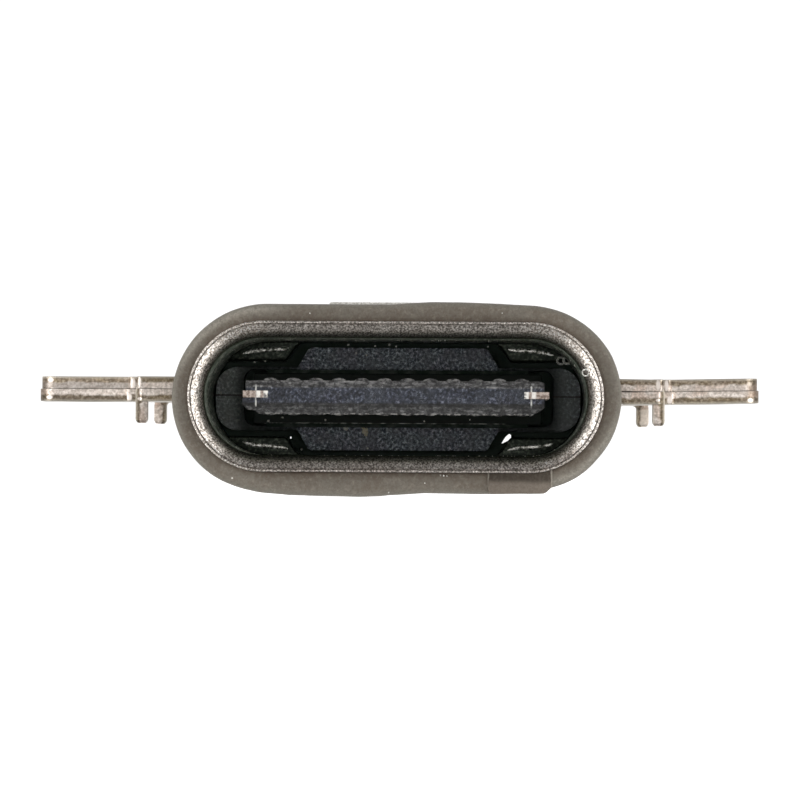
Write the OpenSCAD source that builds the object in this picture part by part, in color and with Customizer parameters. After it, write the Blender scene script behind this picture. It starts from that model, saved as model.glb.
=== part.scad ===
// Splash-proof 24-contact socket for a phone: a seamless racetrack shell with a
// rubber ring, held by two formed steel brackets whose ears lie one on the other.
// X runs across the width, Y runs from the mouth to the solder tails, Z is up.
// The origin is the centre of the mouth. All sizes are in millimetres.

/* [Shell] */
// Outer width of the shell
shell_w = 9.05; // [8.95:0.01:9.15]
// Outer height of the shell
shell_h = 3.27; // [3.20:0.01:3.35]
// Wall thickness of the shell
shell_wall = 0.355; // [0.30:0.005:0.38]
// Length of the shell from the lip to its rear edge
shell_len = 7.60; // [7.4:0.05:7.8]
// Radius that leads the plug in at the inner edge of the lip
lip_in_r = 0.22; // [0.1:0.01:0.25]
// Radius at the outer edge of the lip
lip_out_r = 0.06; // [0.02:0.01:0.08]
// Depth of the rear stops, from the mouth
stop_y = 6.05; // [5.9:0.05:6.15]
// Thickness of the rear stops
stop_t = 0.80; // [0.6:0.05:0.9]

/* [Seal ring] */
// Outer width of the rubber ring
seal_w = 9.89; // [9.8:0.01:10.1]
// Outer height of the rubber ring
seal_h = 4.24; // [4.1:0.01:4.3]
// Distance from the mouth to the front of the ring
seal_y = 1.35; // [1.0:0.05:1.5]
// Width of the ring along the shell
seal_len = 1.30; // [1.1:0.05:1.3]
// Height of its two ribs above the groove between them
seal_rib = 0.12; // [0.05:0.01:0.2]
// How far the ring sits below the middle of the shell
seal_drop = 0.06; // [0:0.005:0.08]

/* [Brackets] */
// Sheet thickness of the upper bracket
upper_t = 0.27; // [0.25:0.01:0.3]
// Sheet thickness of the lower bracket
lower_t = 0.28; // [0.2:0.01:0.28]
// Height of the face where the two sheets of an ear meet
seam_z = 0.18; // [0.17:0.01:0.2]
// Front edge of both brackets
bracket_y0 = 2.95; // [2.9:0.05:3.1]
// Rear edge of both brackets
bracket_y1 = 7.30; // [7.2:0.05:7.5]
// Width over the ears of the lower bracket
lower_span = 16.0; // [15.8:0.05:16.2]
// Width over the ears of the upper bracket
upper_span = 15.93; // [15.7:0.01:16.0]
// Front edge of the screw ear
ear_y0 = 3.85; // [3.8:0.05:4.0]
// Rear edge of the screw ear
ear_y1 = 6.25; // [6.1:0.05:6.3]
// Radius of the corners of the screw ear
ear_r = 0.35; // [0.2:0.05:0.5]
// Distance between the two screw holes
screw_pitch = 13.90; // [13.7:0.05:14]
// Diameter of the screw holes
screw_d = 1.30; // [1.2:0.05:1.5]
// Half width of the raised lip behind the rubber ring
lip_half = 1.55; // [1.4:0.05:1.8]
// Height of the top of that lip above the middle of the shell
lip_top = 2.16; // [2.1:0.01:2.2]

/* [Board legs] */
// Lowest point of the four legs
leg_z = -0.58; // [-0.8:0.01:-0.4]
// Outer face of the front legs, from the middle
leg_front_x = 5.84; // [5.8:0.01:5.9]
// Outer face of the rear legs, from the middle
leg_rear_x = 5.58; // [5.4:0.01:5.6]
// Width of a leg along the shell
leg_w = 0.45; // [0.4:0.05:0.5]
// How far the front legs stand back from the brackets' front edge
leg_back = 0.20; // [0.1:0.05:0.3]
// Half width of the brackets along their front edge
strip_x = 5.74; // [5.7:0.01:5.8]
// Half width of the upper and of the lower bracket beside the screw ears
foot_up_x = 5.92; // [5.85:0.01:5.95]
foot_low_x = 6.01; // [5.95:0.01:6.05]
// Height that the rear clasps of the lower bracket reach on the shell's sides
clasp_z = 0.60; // [0.4:0.05:0.8]
// Width of the clasps along the shell
clasp_w = 0.25; // [0.2:0.05:0.25]

/* [Tongue] */
// Distance from the mouth to the front of the tongue
tongue_y = 1.00; // [0.9:0.05:1.1]
// Width of the tongue over the bare edges of the steel plate
tongue_w = 6.69; // [6.6:0.01:6.75]
// Width of the plastic of the tongue
rail_w = 6.52; // [6.4:0.01:6.6]
// Half thickness of the plastic of the tongue
tongue_half = 0.34; // [0.3:0.005:0.35]
// Half thickness of the tongue's root, without its plates
root_half = 0.56; // [0.5:0.01:0.58]
// Front of the tongue's root
root_y = 4.85; // [4.7:0.05:5]
// Face of the base that the plug stops at
base_y = 6.20; // [6.15:0.05:6.25]
// Rear face of the base
base_y1 = 8.10; // [8:0.05:8.15]

/* [Steel plates] */
// Thickness of the plate inside the tongue
plate_t = 0.15; // [0.12:0.01:0.15]
// How far that plate sits above the middle of the tongue
plate_up = 0.055; // [0:0.005:0.06]
// Thickness of the two ground plates
ground_t = 0.08; // [0.06:0.01:0.1]
// Width of the two ground plates
ground_w = 5.84; // [5.6:0.02:6]

/* [Contacts] */
// Number of contacts in a row
contact_n = 12; // [12:1:12]
// Distance between neighbouring contacts
pitch = 0.50; // [0.5:0.01:0.5]
// Width of a contact
contact_w = 0.25; // [0.2:0.01:0.28]
// Thickness of a contact
contact_t = 0.15; // [0.12:0.01:0.15]
// Half thickness of the tongue over its contacts
contact_half = 0.36; // [0.35:0.01:0.36]
// Front end of the power and ground contacts
long_y = 1.45; // [1.4:0.05:1.6]
// Front end of the signal contacts
short_y = 1.95; // [1.8:0.05:2.1]
// Underside of the solder tails and of the ears
board_z = -0.10; // [-0.1:0.01:-0.08]

/* [Hidden] */
$fn = 96;

shell_r = shell_h / 2;                  // outer radius of the shell's round ends
cavity_w = shell_w - 2 * shell_wall;    // width of the cavity
cavity_h = shell_h - 2 * shell_wall;    // height of the cavity
cavity_r = cavity_h / 2;                // radius of the cavity's round ends
straight = (shell_w - shell_h) / 2;     // half of the straight part of the racetrack
stop_y1 = stop_y + stop_t;
carrier_half = 2.96;                    // half width of the contact carriers
rail_notch = 3.12;                      // floor of the side notches in the plastic
plate_notch = 3.00;                     // floor of the side notches in the plate
carrier_y0 = tongue_y + 0.30;
carrier_y1 = base_y1 - 0.15;
contact_in = contact_half - contact_t;  // inner face of a contact, from the middle
plate_y1 = 7.70;
steel = [0.66, 0.64, 0.61];
sheet = [0.60, 0.58, 0.54];
rubber = [0.43, 0.40, 0.37];
plastic = [0.20, 0.21, 0.23];
inner_plastic = [0.24, 0.25, 0.28];
gold = [0.80, 0.66, 0.40];

// A flat shape drawn in X and Z, made solid from y0 to y1.
module along_y(y0, y1) translate([0, y1, 0]) rotate([90, 0, 0]) linear_extrude(y1 - y0) children();

// A flat shape drawn in Y and Z, made solid from x0 to x1.
module along_x(x0, x1) translate([x0, 0, 0]) rotate([90, 0, 90]) linear_extrude(x1 - x0) children();

// A flat shape drawn in X and Y, made solid from z0 to z1.
module along_z(z0, z1) translate([0, 0, z0]) linear_extrude(z1 - z0) children();

// The same thing on the left and on the right.
module both_sides() { children(); mirror([1, 0, 0]) children(); }

module rect(x0, x1, y0, y1) translate([x0, y0]) square([x1 - x0, y1 - y0]);

// The same rectangle on the right (s = 1) or on the left (s = -1).
module side_rect(s, x0, x1, y0, y1) rect(s > 0 ? x0 : -x1, s > 0 ? x1 : -x0, y0, y1);

module round_rect(x0, x1, y0, y1, r) {
    rect(x0 + r, x1 - r, y0, y1);
    rect(x0, x1, y0 + r, y1 - r);
    for (x = [x0 + r, x1 - r], y = [y0 + r, y1 - r]) translate([x, y]) circle(r);
}

// A racetrack of width w and height h.
module racetrack(w, h) {
    square([w - h, h], center = true);
    for (s = [-1, 1]) translate([s * (w - h) / 2, 0]) circle(h / 2);
}

// Points of a quarter circle of radius r about c, from angle a to angle a + 90.
function quarter(c, r, a, n = 8) = [for (i = [0:n]) [c[0] + r * cos(a + 90 * i / n), c[1] + r * sin(a + 90 * i / n)]];

// Section of the shell's wall: distance from the racetrack's spine, and depth.
wall_section = concat(
    quarter([cavity_r + lip_in_r, lip_in_r], lip_in_r, 180),
    quarter([shell_r - lip_out_r, lip_out_r], lip_out_r, 270, 4),
    [[shell_r, shell_len - 0.04], [shell_r - 0.04, shell_len], [cavity_r, shell_len]]
);

// The wall's section run along the straight top, and turned about each end.
module wall() {
    for (s = [0, 1]) mirror([0, 0, s])
        along_x(-straight, straight) polygon([for (p = wall_section) [p[1], p[0]]]);
    for (s = [0, 1]) mirror([s, 0, 0])
        translate([straight, 0, 0]) rotate([-90, 0, 0]) rotate([0, 0, -90])
            rotate_extrude(angle = 180) polygon(wall_section);
}

// Outline of the space between the four stops: a wide band and a window above and
// below it, whose ends curve outwards to the band.
stop_band = 0.85;      // half height of the band
stop_win_top = 2.24;   // half width of the window at the wall
stop_win_low = 2.58;   // half width of the window at the band
function s_curve(t) = t * t * (3 - 2 * t);
module stop_window() {
    top = cavity_r + 0.2;
    rect(-cavity_w / 2 - 0.2, cavity_w / 2 + 0.2, -stop_band, stop_band);
    edge = [for (i = [0:6]) [stop_win_low - (stop_win_low - stop_win_top) * i / 6, stop_band - 0.01 + (1.22 - stop_band) * s_curve(i / 6)]];
    for (m = [0, 1]) mirror([0, m])
        polygon(concat([[0, 0], [stop_win_low, 0]], edge, [[stop_win_top - 0.04, top], [-stop_win_top + 0.04, top]],
            [for (i = [6:-1:0]) [-edge[i][0], edge[i][1]]], [[-stop_win_low, 0]]));
}

module shell() {
    color(steel) {
        wall();
        along_y(stop_y, stop_y1) difference() {
            racetrack(cavity_w + 0.2, cavity_h + 0.2);
            stop_window();
        }
    }
}

// The ring is a soft band with two ribs and a groove between them.
module seal_ring() {
    e = seal_len / 5;
    color(rubber) translate([0, 0, -seal_drop]) difference() {
        union() {
            along_y(seal_y, seal_y + seal_len) racetrack(seal_w - 2 * seal_rib, seal_h - 2 * seal_rib);
            for (i = [0.5, 3]) along_y(seal_y + i * e, seal_y + (i + 1.5) * e) racetrack(seal_w, seal_h);
        }
        translate([0, 0, seal_drop]) along_y(seal_y - 1, seal_y + seal_len + 1) racetrack(shell_w, shell_h);
    }
}

// Plan of an ear, on the right. tip is the half span, foot the half width beside the
// screw ear, and rear the half width behind it. Beside the front leg both sheets stop
// at the leg's inner face.
module ear_plan(tip, foot, rear) {
    y1 = bracket_y0 + leg_back;
    difference() {
        union() {
            rect(4.2, strip_x, bracket_y0, y1);
            rect(4.2, leg_front_x - upper_t, y1 - 0.001, y1 + leg_w + 0.001);
            rect(4.2, foot, y1 + leg_w, ear_y1);
            rect(4.2, rear, ear_y1 - 0.001, bracket_y1);
            round_rect(5.0, tip, ear_y0, ear_y1, ear_r);
        }
        translate([screw_pitch / 2, (ear_y0 + ear_y1) / 2]) circle(screw_d / 2);
    }
}

module upper_bracket() {
    color(sheet) {
        difference() {
            union() {
                along_y(bracket_y0, bracket_y1) intersection() {
                    racetrack(shell_w + 2 * upper_t, shell_h + 2 * upper_t);
                    rect(-10, 10, seam_z, 10);
                }
                both_sides() along_z(seam_z, seam_z + upper_t) ear_plan(upper_span / 2, foot_up_x, leg_rear_x);
                along_y(bracket_y0 - 0.30, bracket_y0) rect(-lip_half, lip_half, 0, lip_top);
            }
            along_y(0, 10) racetrack(shell_w, shell_h);
        }
        both_sides() leg(leg_front_x, bracket_y0 + leg_back, upper_t, seam_z);
    }
}

// A leg of thickness t folded down from the edge of a sheet whose underside is at z,
// between y0 and y0 + leg_w.
module leg(x, y0, t, z) {
    along_y(y0, y0 + leg_w) {
        intersection() {
            translate([x - t, z]) circle(t);
            rect(x - t, x, z, z + t);
        }
        rect(x - t, x, leg_z, z);
    }
}

module lower_bracket() {
    color(sheet) {
        difference() {
            union() {
                along_y(bracket_y0, bracket_y1) intersection() {
                    racetrack(shell_w + 2 * lower_t, shell_h + 2 * lower_t);
                    rect(-10, 10, -10, seam_z);
                }
                both_sides() along_z(board_z, seam_z) ear_plan(lower_span / 2, foot_low_x, leg_rear_x - lower_t);
            }
            along_y(0, 10) racetrack(shell_w, shell_h);
        }
        both_sides() leg(leg_rear_x, bracket_y1 - leg_w, lower_t, board_z);
        along_y(bracket_y1, bracket_y1 + clasp_w) difference() {
            intersection() {
                racetrack(shell_w + 2 * lower_t, shell_h + 2 * lower_t);
                rect(-10, 10, -0.9, clasp_z);
            }
            racetrack(shell_w, shell_h);
        }
    }
}

// Face of the base: a wide band with round ends, and a trapezoid above and below.
module base_face() {
    round_rect(-cavity_w / 2 + 0.03, cavity_w / 2 - 0.03, -0.72, 0.72, 0.58);
    for (m = [0, 1]) mirror([0, m]) {
        polygon([[-2.33, 0.6], [2.33, 0.6], [2.03, 1.12], [1.95, 1.16], [-1.95, 1.16], [-2.03, 1.12]]);
    }
}

// Gaps that run through the base at its lower corners, between it and the stops.
module corner_gaps() {
    along_y(base_y, base_y1 + 1) polygon([[2.26, -0.99], [2.36, -1.01], [2.56, -0.80], [2.46, -0.77]]);
    along_y(base_y, base_y1 + 1) polygon([[-2.35, -0.93], [-2.42, -0.93], [-2.42, -0.86], [-2.35, -0.86]]);
}

// Notches in the tongue's sides that the plug's side springs grip.
module side_notches(depth_x) {
    both_sides() along_z(-1, 1) round_rect(depth_x, 4.0, 2.60, 3.70, 0.12);
}

module tongue_plastic() {
    c = 0.10;
    difference() {
        intersection() {
            along_z(-0.4, 0.4) polygon([
                [-rail_w / 2 + 0.12, tongue_y], [rail_w / 2 - 0.12, tongue_y],
                [rail_w / 2, tongue_y + 0.12], [rail_w / 2, root_y + 0.1],
                [-rail_w / 2, root_y + 0.1], [-rail_w / 2, tongue_y + 0.12]]);
            along_x(-4, 4) polygon([
                [tongue_y, -tongue_half + c], [tongue_y + c, -tongue_half], [root_y + 0.1, -tongue_half],
                [root_y + 0.1, tongue_half], [tongue_y + c, tongue_half], [tongue_y, tongue_half - c]]);
        }
        side_notches(rail_notch);
    }
}

module insulator() {
    color(plastic) difference() {
        union() {
            tongue_plastic();
            along_y(root_y, base_y + 0.1) rect(-rail_w / 2, rail_w / 2, -root_half, root_half);
            along_y(base_y, stop_y1 + 0.1) base_face();
            along_y(stop_y1, base_y1) racetrack(cavity_w, cavity_h);
        }
        corner_gaps();
        carrier_form(1);
        carrier_form(-1);
        plate_form();
        ground_form(1);
        ground_form(-1);
        for (i = [0:contact_n - 1], up = [0, 1]) contact_form(i, up);
    }
}

// Block of one contact carrier, above (1) or below (-1) the middle plate.
module carrier_form(s) {
    mirror([0, 0, s < 0 ? 1 : 0])
        along_y(carrier_y0, carrier_y1) rect(-carrier_half, carrier_half, plate_t / 2 + s * plate_up, tongue_half);
}

module upper_contact_carrier() {
    color(inner_plastic) difference() {
        carrier_form(1);
        for (i = [0:contact_n - 1]) contact_form(i, 1);
    }
}

module lower_contact_carrier() {
    color(inner_plastic) difference() {
        carrier_form(-1);
        for (i = [0:contact_n - 1]) contact_form(i, 0);
    }
}

// The plate reaches the tongue's front only at its two corners.
module plate_form() {
    difference() {
        along_z(plate_up - plate_t / 2, plate_up + plate_t / 2) difference() {
            union() {
                rect(-tongue_w / 2, tongue_w / 2, carrier_y0, plate_y1);
                for (s = [-1, 1]) side_rect(s, 2.80, tongue_w / 2, tongue_y, carrier_y0 + 0.1);
            }
            for (s = [-1, 1]) side_rect(s, plate_notch, 4, 6.80, 7.30);
        }
        side_notches(plate_notch);
    }
}

module mid_plate() { color(steel) plate_form(); }

// A ground plate lies on the root and runs back into the base.
module ground_form(s) {
    mirror([0, 0, s < 0 ? 1 : 0]) along_z(root_half, root_half + ground_t) {
        rect(-ground_w / 2, ground_w / 2, root_y, base_y + 0.4);
        for (s = [-1, 1]) side_rect(s, 0.6, 1.8, base_y, base_y + 1.1);
    }
}

module upper_ground_plate() { color(steel) ground_form(1); }
module lower_ground_plate() { color(steel) ground_form(-1); }

// Positions 1, 4, 9 and 12 carry power and ground, and reach further forward.
function is_long(i) = (i == 0 || i == 3 || i == 8 || i == 11);

// Contact in place i from the left, of the upper row (up = 1) or the lower row.
module contact_form(i, up) {
    x = (i - (contact_n - 1) / 2) * pitch;
    y0 = is_long(i) ? long_y : short_y;
    a = contact_in;
    b = contact_half;
    t0 = board_z;
    t1 = board_z + contact_t;
    c = 0.06;
    along_x(x - contact_w / 2, x + contact_w / 2)
        if (up == 1)
            polygon([[y0, a], [y0, b - c], [y0 + c, b], [8.97, b], [9.06, b - 0.05], [9.28, t1],
                [9.85, t1], [9.90, t1 - 0.05], [9.90, t0], [9.16, t0], [8.90, a]]);
        else
            polygon([[y0, -a], [y0, -b + c], [y0 + c, -b], [8.22, -b], [8.40, t0], [8.80, t0],
                [8.80, t1 - 0.05], [8.75, t1], [8.32, t1], [8.13, -a]]);
}

// Place 1 of the upper row is on the left and place 1 of the lower row on the right.
module contact_a(k) { color(gold) contact_form(k - 1, 1); }
module contact_b(k) { color(gold) contact_form(contact_n - k, 0); }

shell();
seal_ring();
upper_bracket();
lower_bracket();
insulator();
upper_contact_carrier();
lower_contact_carrier();
mid_plate();
upper_ground_plate();
lower_ground_plate();
contact_a(1);  // contact_a1
contact_a(2);  // contact_a2
contact_a(3);  // contact_a3
contact_a(4);  // contact_a4
contact_a(5);  // contact_a5
contact_a(6);  // contact_a6
contact_a(7);  // contact_a7
contact_a(8);  // contact_a8
contact_a(9);  // contact_a9
contact_a(10);  // contact_a10
contact_a(11);  // contact_a11
contact_a(12);  // contact_a12
contact_b(1);  // contact_b1
contact_b(2);  // contact_b2
contact_b(3);  // contact_b3
contact_b(4);  // contact_b4
contact_b(5);  // contact_b5
contact_b(6);  // contact_b6
contact_b(7);  // contact_b7
contact_b(8);  // contact_b8
contact_b(9);  // contact_b9
contact_b(10);  // contact_b10
contact_b(11);  // contact_b11
contact_b(12);  // contact_b12
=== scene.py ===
"""Look of a through-case USB-C board socket: mouth towards -Y, ears left and right.

Lengths below are millimetres unless a name says otherwise; MM turns them into metres
when a mesh is made.
"""

import math


import bmesh
import bpy
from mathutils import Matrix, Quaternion, Vector, noise
from mathutils.geometry import tessellate_polygon


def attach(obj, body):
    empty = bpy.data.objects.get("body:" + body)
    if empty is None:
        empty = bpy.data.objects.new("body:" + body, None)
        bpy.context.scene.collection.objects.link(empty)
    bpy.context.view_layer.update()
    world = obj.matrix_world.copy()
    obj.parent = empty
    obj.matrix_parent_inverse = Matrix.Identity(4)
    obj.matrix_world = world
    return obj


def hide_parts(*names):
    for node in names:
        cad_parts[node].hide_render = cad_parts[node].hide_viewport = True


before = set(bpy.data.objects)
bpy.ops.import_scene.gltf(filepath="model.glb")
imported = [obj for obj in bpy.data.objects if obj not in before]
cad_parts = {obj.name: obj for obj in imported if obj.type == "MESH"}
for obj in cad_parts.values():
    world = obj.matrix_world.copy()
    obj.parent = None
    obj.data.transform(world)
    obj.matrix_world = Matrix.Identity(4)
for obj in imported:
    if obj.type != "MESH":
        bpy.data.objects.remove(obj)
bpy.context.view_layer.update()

MM = 0.001


# ---------------------------------------------------------------- small helpers
def interp(table, x):
    """Value at x of a table of (x, value) pairs in rising x, straight between them."""
    if x <= table[0][0]:
        return table[0][1]
    for (x0, v0), (x1, v1) in zip(table, table[1:]):
        if x <= x1:
            return v0 + (v1 - v0) * (x - x0) / (x1 - x0)
    return table[-1][1]


def rough(p, scale, seed=0.0):
    """Smooth noise from -1 to 1 at a point, about 1 / scale mm across."""
    return noise.noise(Vector((p[0] * scale + seed, p[1] * scale - seed, p[2] * scale + 2 * seed)))


def arc(cx, cy, r, a0, a1, n):
    return [
        (cx + r * math.cos(math.radians(a0 + (a1 - a0) * i / n)), cy + r * math.sin(math.radians(a0 + (a1 - a0) * i / n)))
        for i in range(n + 1)
    ]


def area(loop):
    return sum(a[0] * b[1] - b[0] * a[1] for a, b in zip(loop, loop[1:] + loop[:1])) / 2


def tidy(loop, least=0.004):
    """The loop without points closer than least to the one before."""
    out = []
    for p in loop:
        if not out or math.hypot(p[0] - out[-1][0], p[1] - out[-1][1]) > least:
            out.append(p)
    if math.hypot(out[0][0] - out[-1][0], out[0][1] - out[-1][1]) <= least:
        out.pop()
    return out


def round_corners(points, n=5):
    """points are (x, y, r). Each corner becomes an arc of radius r."""
    out = []
    for i, (x, y, r) in enumerate(points):
        if r <= 0:
            out.append((x, y))
            continue
        p, a, b = Vector((x, y)), Vector(points[i - 1][:2]), Vector(points[(i + 1) % len(points)][:2])
        u, v = (a - p).normalized(), (b - p).normalized()
        half = math.acos(max(-1, min(1, u.dot(v)))) / 2
        cut = min(r / math.tan(half), (a - p).length * 0.49, (b - p).length * 0.49)
        r = cut * math.tan(half)
        c = p + (u + v).normalized() * (r / math.sin(half))
        s, e = p + u * cut - c, p + v * cut - c
        turn = math.atan2(s.x * e.y - s.y * e.x, s.dot(e))
        for k in range(n + 1):
            t = turn * k / n
            out.append((c.x + s.x * math.cos(t) - s.y * math.sin(t), c.y + s.x * math.sin(t) + s.y * math.cos(t)))
    return tidy(out)


def inset(loop, d):
    """The loop moved by d towards its left side, corner by corner."""
    out = []
    for i, p in enumerate(loop):
        a, b = Vector(loop[i - 1]), Vector(loop[(i + 1) % len(loop)])
        p = Vector(p)
        u, v = (p - a).normalized(), (b - p).normalized()
        nu, nv = Vector((-u.y, u.x)), Vector((-v.y, v.x))
        m = nu + nv
        m = m / max(m.dot(nu), 0.35)
        out.append((p.x + m.x * d, p.y + m.y * d))
    return out


def plate(outer, holes, w0, w1, bevel=0.02, steps=3):
    """A flat plate between w0 and w1 whose rims are rounded: (u, v, w) points and faces."""
    loops = [outer if area(outer) > 0 else outer[::-1]] + [h if area(h) < 0 else h[::-1] for h in holes]
    rising = [(w0 + bevel * (1 - math.cos(math.pi / 2 * k / steps)), bevel * (1 - math.sin(math.pi / 2 * k / steps))) for k in range(steps + 1)]
    falling = [(w0 + w1 - w, d) for w, d in rising[::-1]]
    levels = rising + falling
    verts, faces, caps = [], [], ([], [])
    for loop in loops:
        n = len(loop)
        base = len(verts)
        for w, d in levels:
            moved = inset(loop, d) if d > 1e-9 else loop
            verts += [(u, v, w) for u, v in moved]
        for j in range(len(levels) - 1):
            for i in range(n):
                a, b = base + j * n + i, base + j * n + (i + 1) % n
                faces.append((a, b, b + n, a + n))
        caps[0].append(list(range(base, base + n)))
        top = base + (len(levels) - 1) * n
        caps[1].append(list(range(top, top + n)))
    for side, rings in enumerate(caps):
        flat = [[Vector((verts[i][0], verts[i][1], 0)) for i in ring] for ring in rings]
        index = [i for ring in rings for i in ring]
        for a, b, c in tessellate_polygon(flat):
            faces.append((index[a], index[b], index[c]) if side else (index[c], index[b], index[a]))
    return verts, faces


def merged(*parts):
    """Several (verts, faces) as one."""
    verts, faces = [], []
    for v, f in parts:
        base = len(verts)
        verts += list(v)
        faces += [tuple(base + i for i in face) for face in f]
    return verts, faces


def placed(part, fn):
    return [fn(*p) for p in part[0]], part[1]


def track(spine, n_straight, n_arc, zc=0.0):
    """Stations round a racetrack, clockwise from the top left: base point and outward normal."""
    out = [(-spine + 2 * spine * i / n_straight, zc, 0.0, 1.0) for i in range(n_straight)]
    for i in range(n_arc):
        a = math.pi / 2 - math.pi * i / n_arc
        out.append((spine, zc, math.cos(a), math.sin(a)))
    out += [(spine - 2 * spine * i / n_straight, zc, 0.0, -1.0) for i in range(n_straight)]
    for i in range(n_arc):
        a = -math.pi / 2 - math.pi * i / n_arc
        out.append((-spine, zc, math.cos(a), math.sin(a)))
    return out


def sweep(stations, profile):
    """profile(i, station) gives a closed loop of (r, y); the same count at each station."""
    verts, faces, m = [], [], None
    for i, st in enumerate(stations):
        loop = profile(i, st)
        m = len(loop)
        bx, bz, nx, nz = st
        verts += [(bx + nx * r, y, bz + nz * r) for r, y in loop]
    n = len(stations)
    for i in range(n):
        for j in range(m):
            a, b = i * m + j, i * m + (j + 1) % m
            c, d = ((i + 1) % n) * m + (j + 1) % m, ((i + 1) % n) * m + j
            faces.append((a, b, c, d))
    return verts, faces


def piece(name, part, mat, stands_for=(), angle=38, weighted=False, attributes=None):
    """A mesh piece that rides on the root body, smooth except at edges sharper than angle."""
    verts, faces = part
    me = bpy.data.meshes.new(name)
    me.from_pydata([(x * MM, y * MM, z * MM) for x, y, z in verts], [], faces)
    for key, values in (attributes or {}).items():
        layer = me.attributes.new(key, "FLOAT", "POINT")
        layer.data.foreach_set("value", values)
    bm = bmesh.new()
    bm.from_mesh(me)
    bmesh.ops.recalc_face_normals(bm, faces=bm.faces)
    limit = math.radians(angle)
    for f in bm.faces:
        f.smooth = True
    for e in bm.edges:
        e.smooth = len(e.link_faces) == 2 and e.calc_face_angle(0.0) < limit
    bm.to_mesh(me)
    bm.free()
    me.materials.append(mat)
    ob = bpy.data.objects.new(name, me)
    bpy.context.scene.collection.objects.link(ob)
    if weighted:
        mod = ob.modifiers.new("even_faces", "WEIGHTED_NORMAL")
        mod.keep_sharp = True
        mod.weight = 80
    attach(ob, "root")
    if stands_for:
        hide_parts(*stands_for)
    return ob


# ---------------------------------------------------------------- camera
cam_data = bpy.data.cameras.new("camera")
cam_data.sensor_width = 36.0
cam_data.lens = 331.9
cam_data.clip_start, cam_data.clip_end = 0.01, 2.0
camera = bpy.data.objects.new("camera", cam_data)
bpy.context.scene.collection.objects.link(camera)
camera.location = Vector((1.43, -160.0, -1.43)) * MM
look = Vector((0.0955, 0.0, -0.0673)) * MM - camera.location
camera.rotation_mode = "QUATERNION"
camera.rotation_quaternion = look.to_track_quat("-Z", "Y") @ Quaternion((0, 0, 1), math.radians(0.33))
bpy.context.scene.camera = camera


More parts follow.
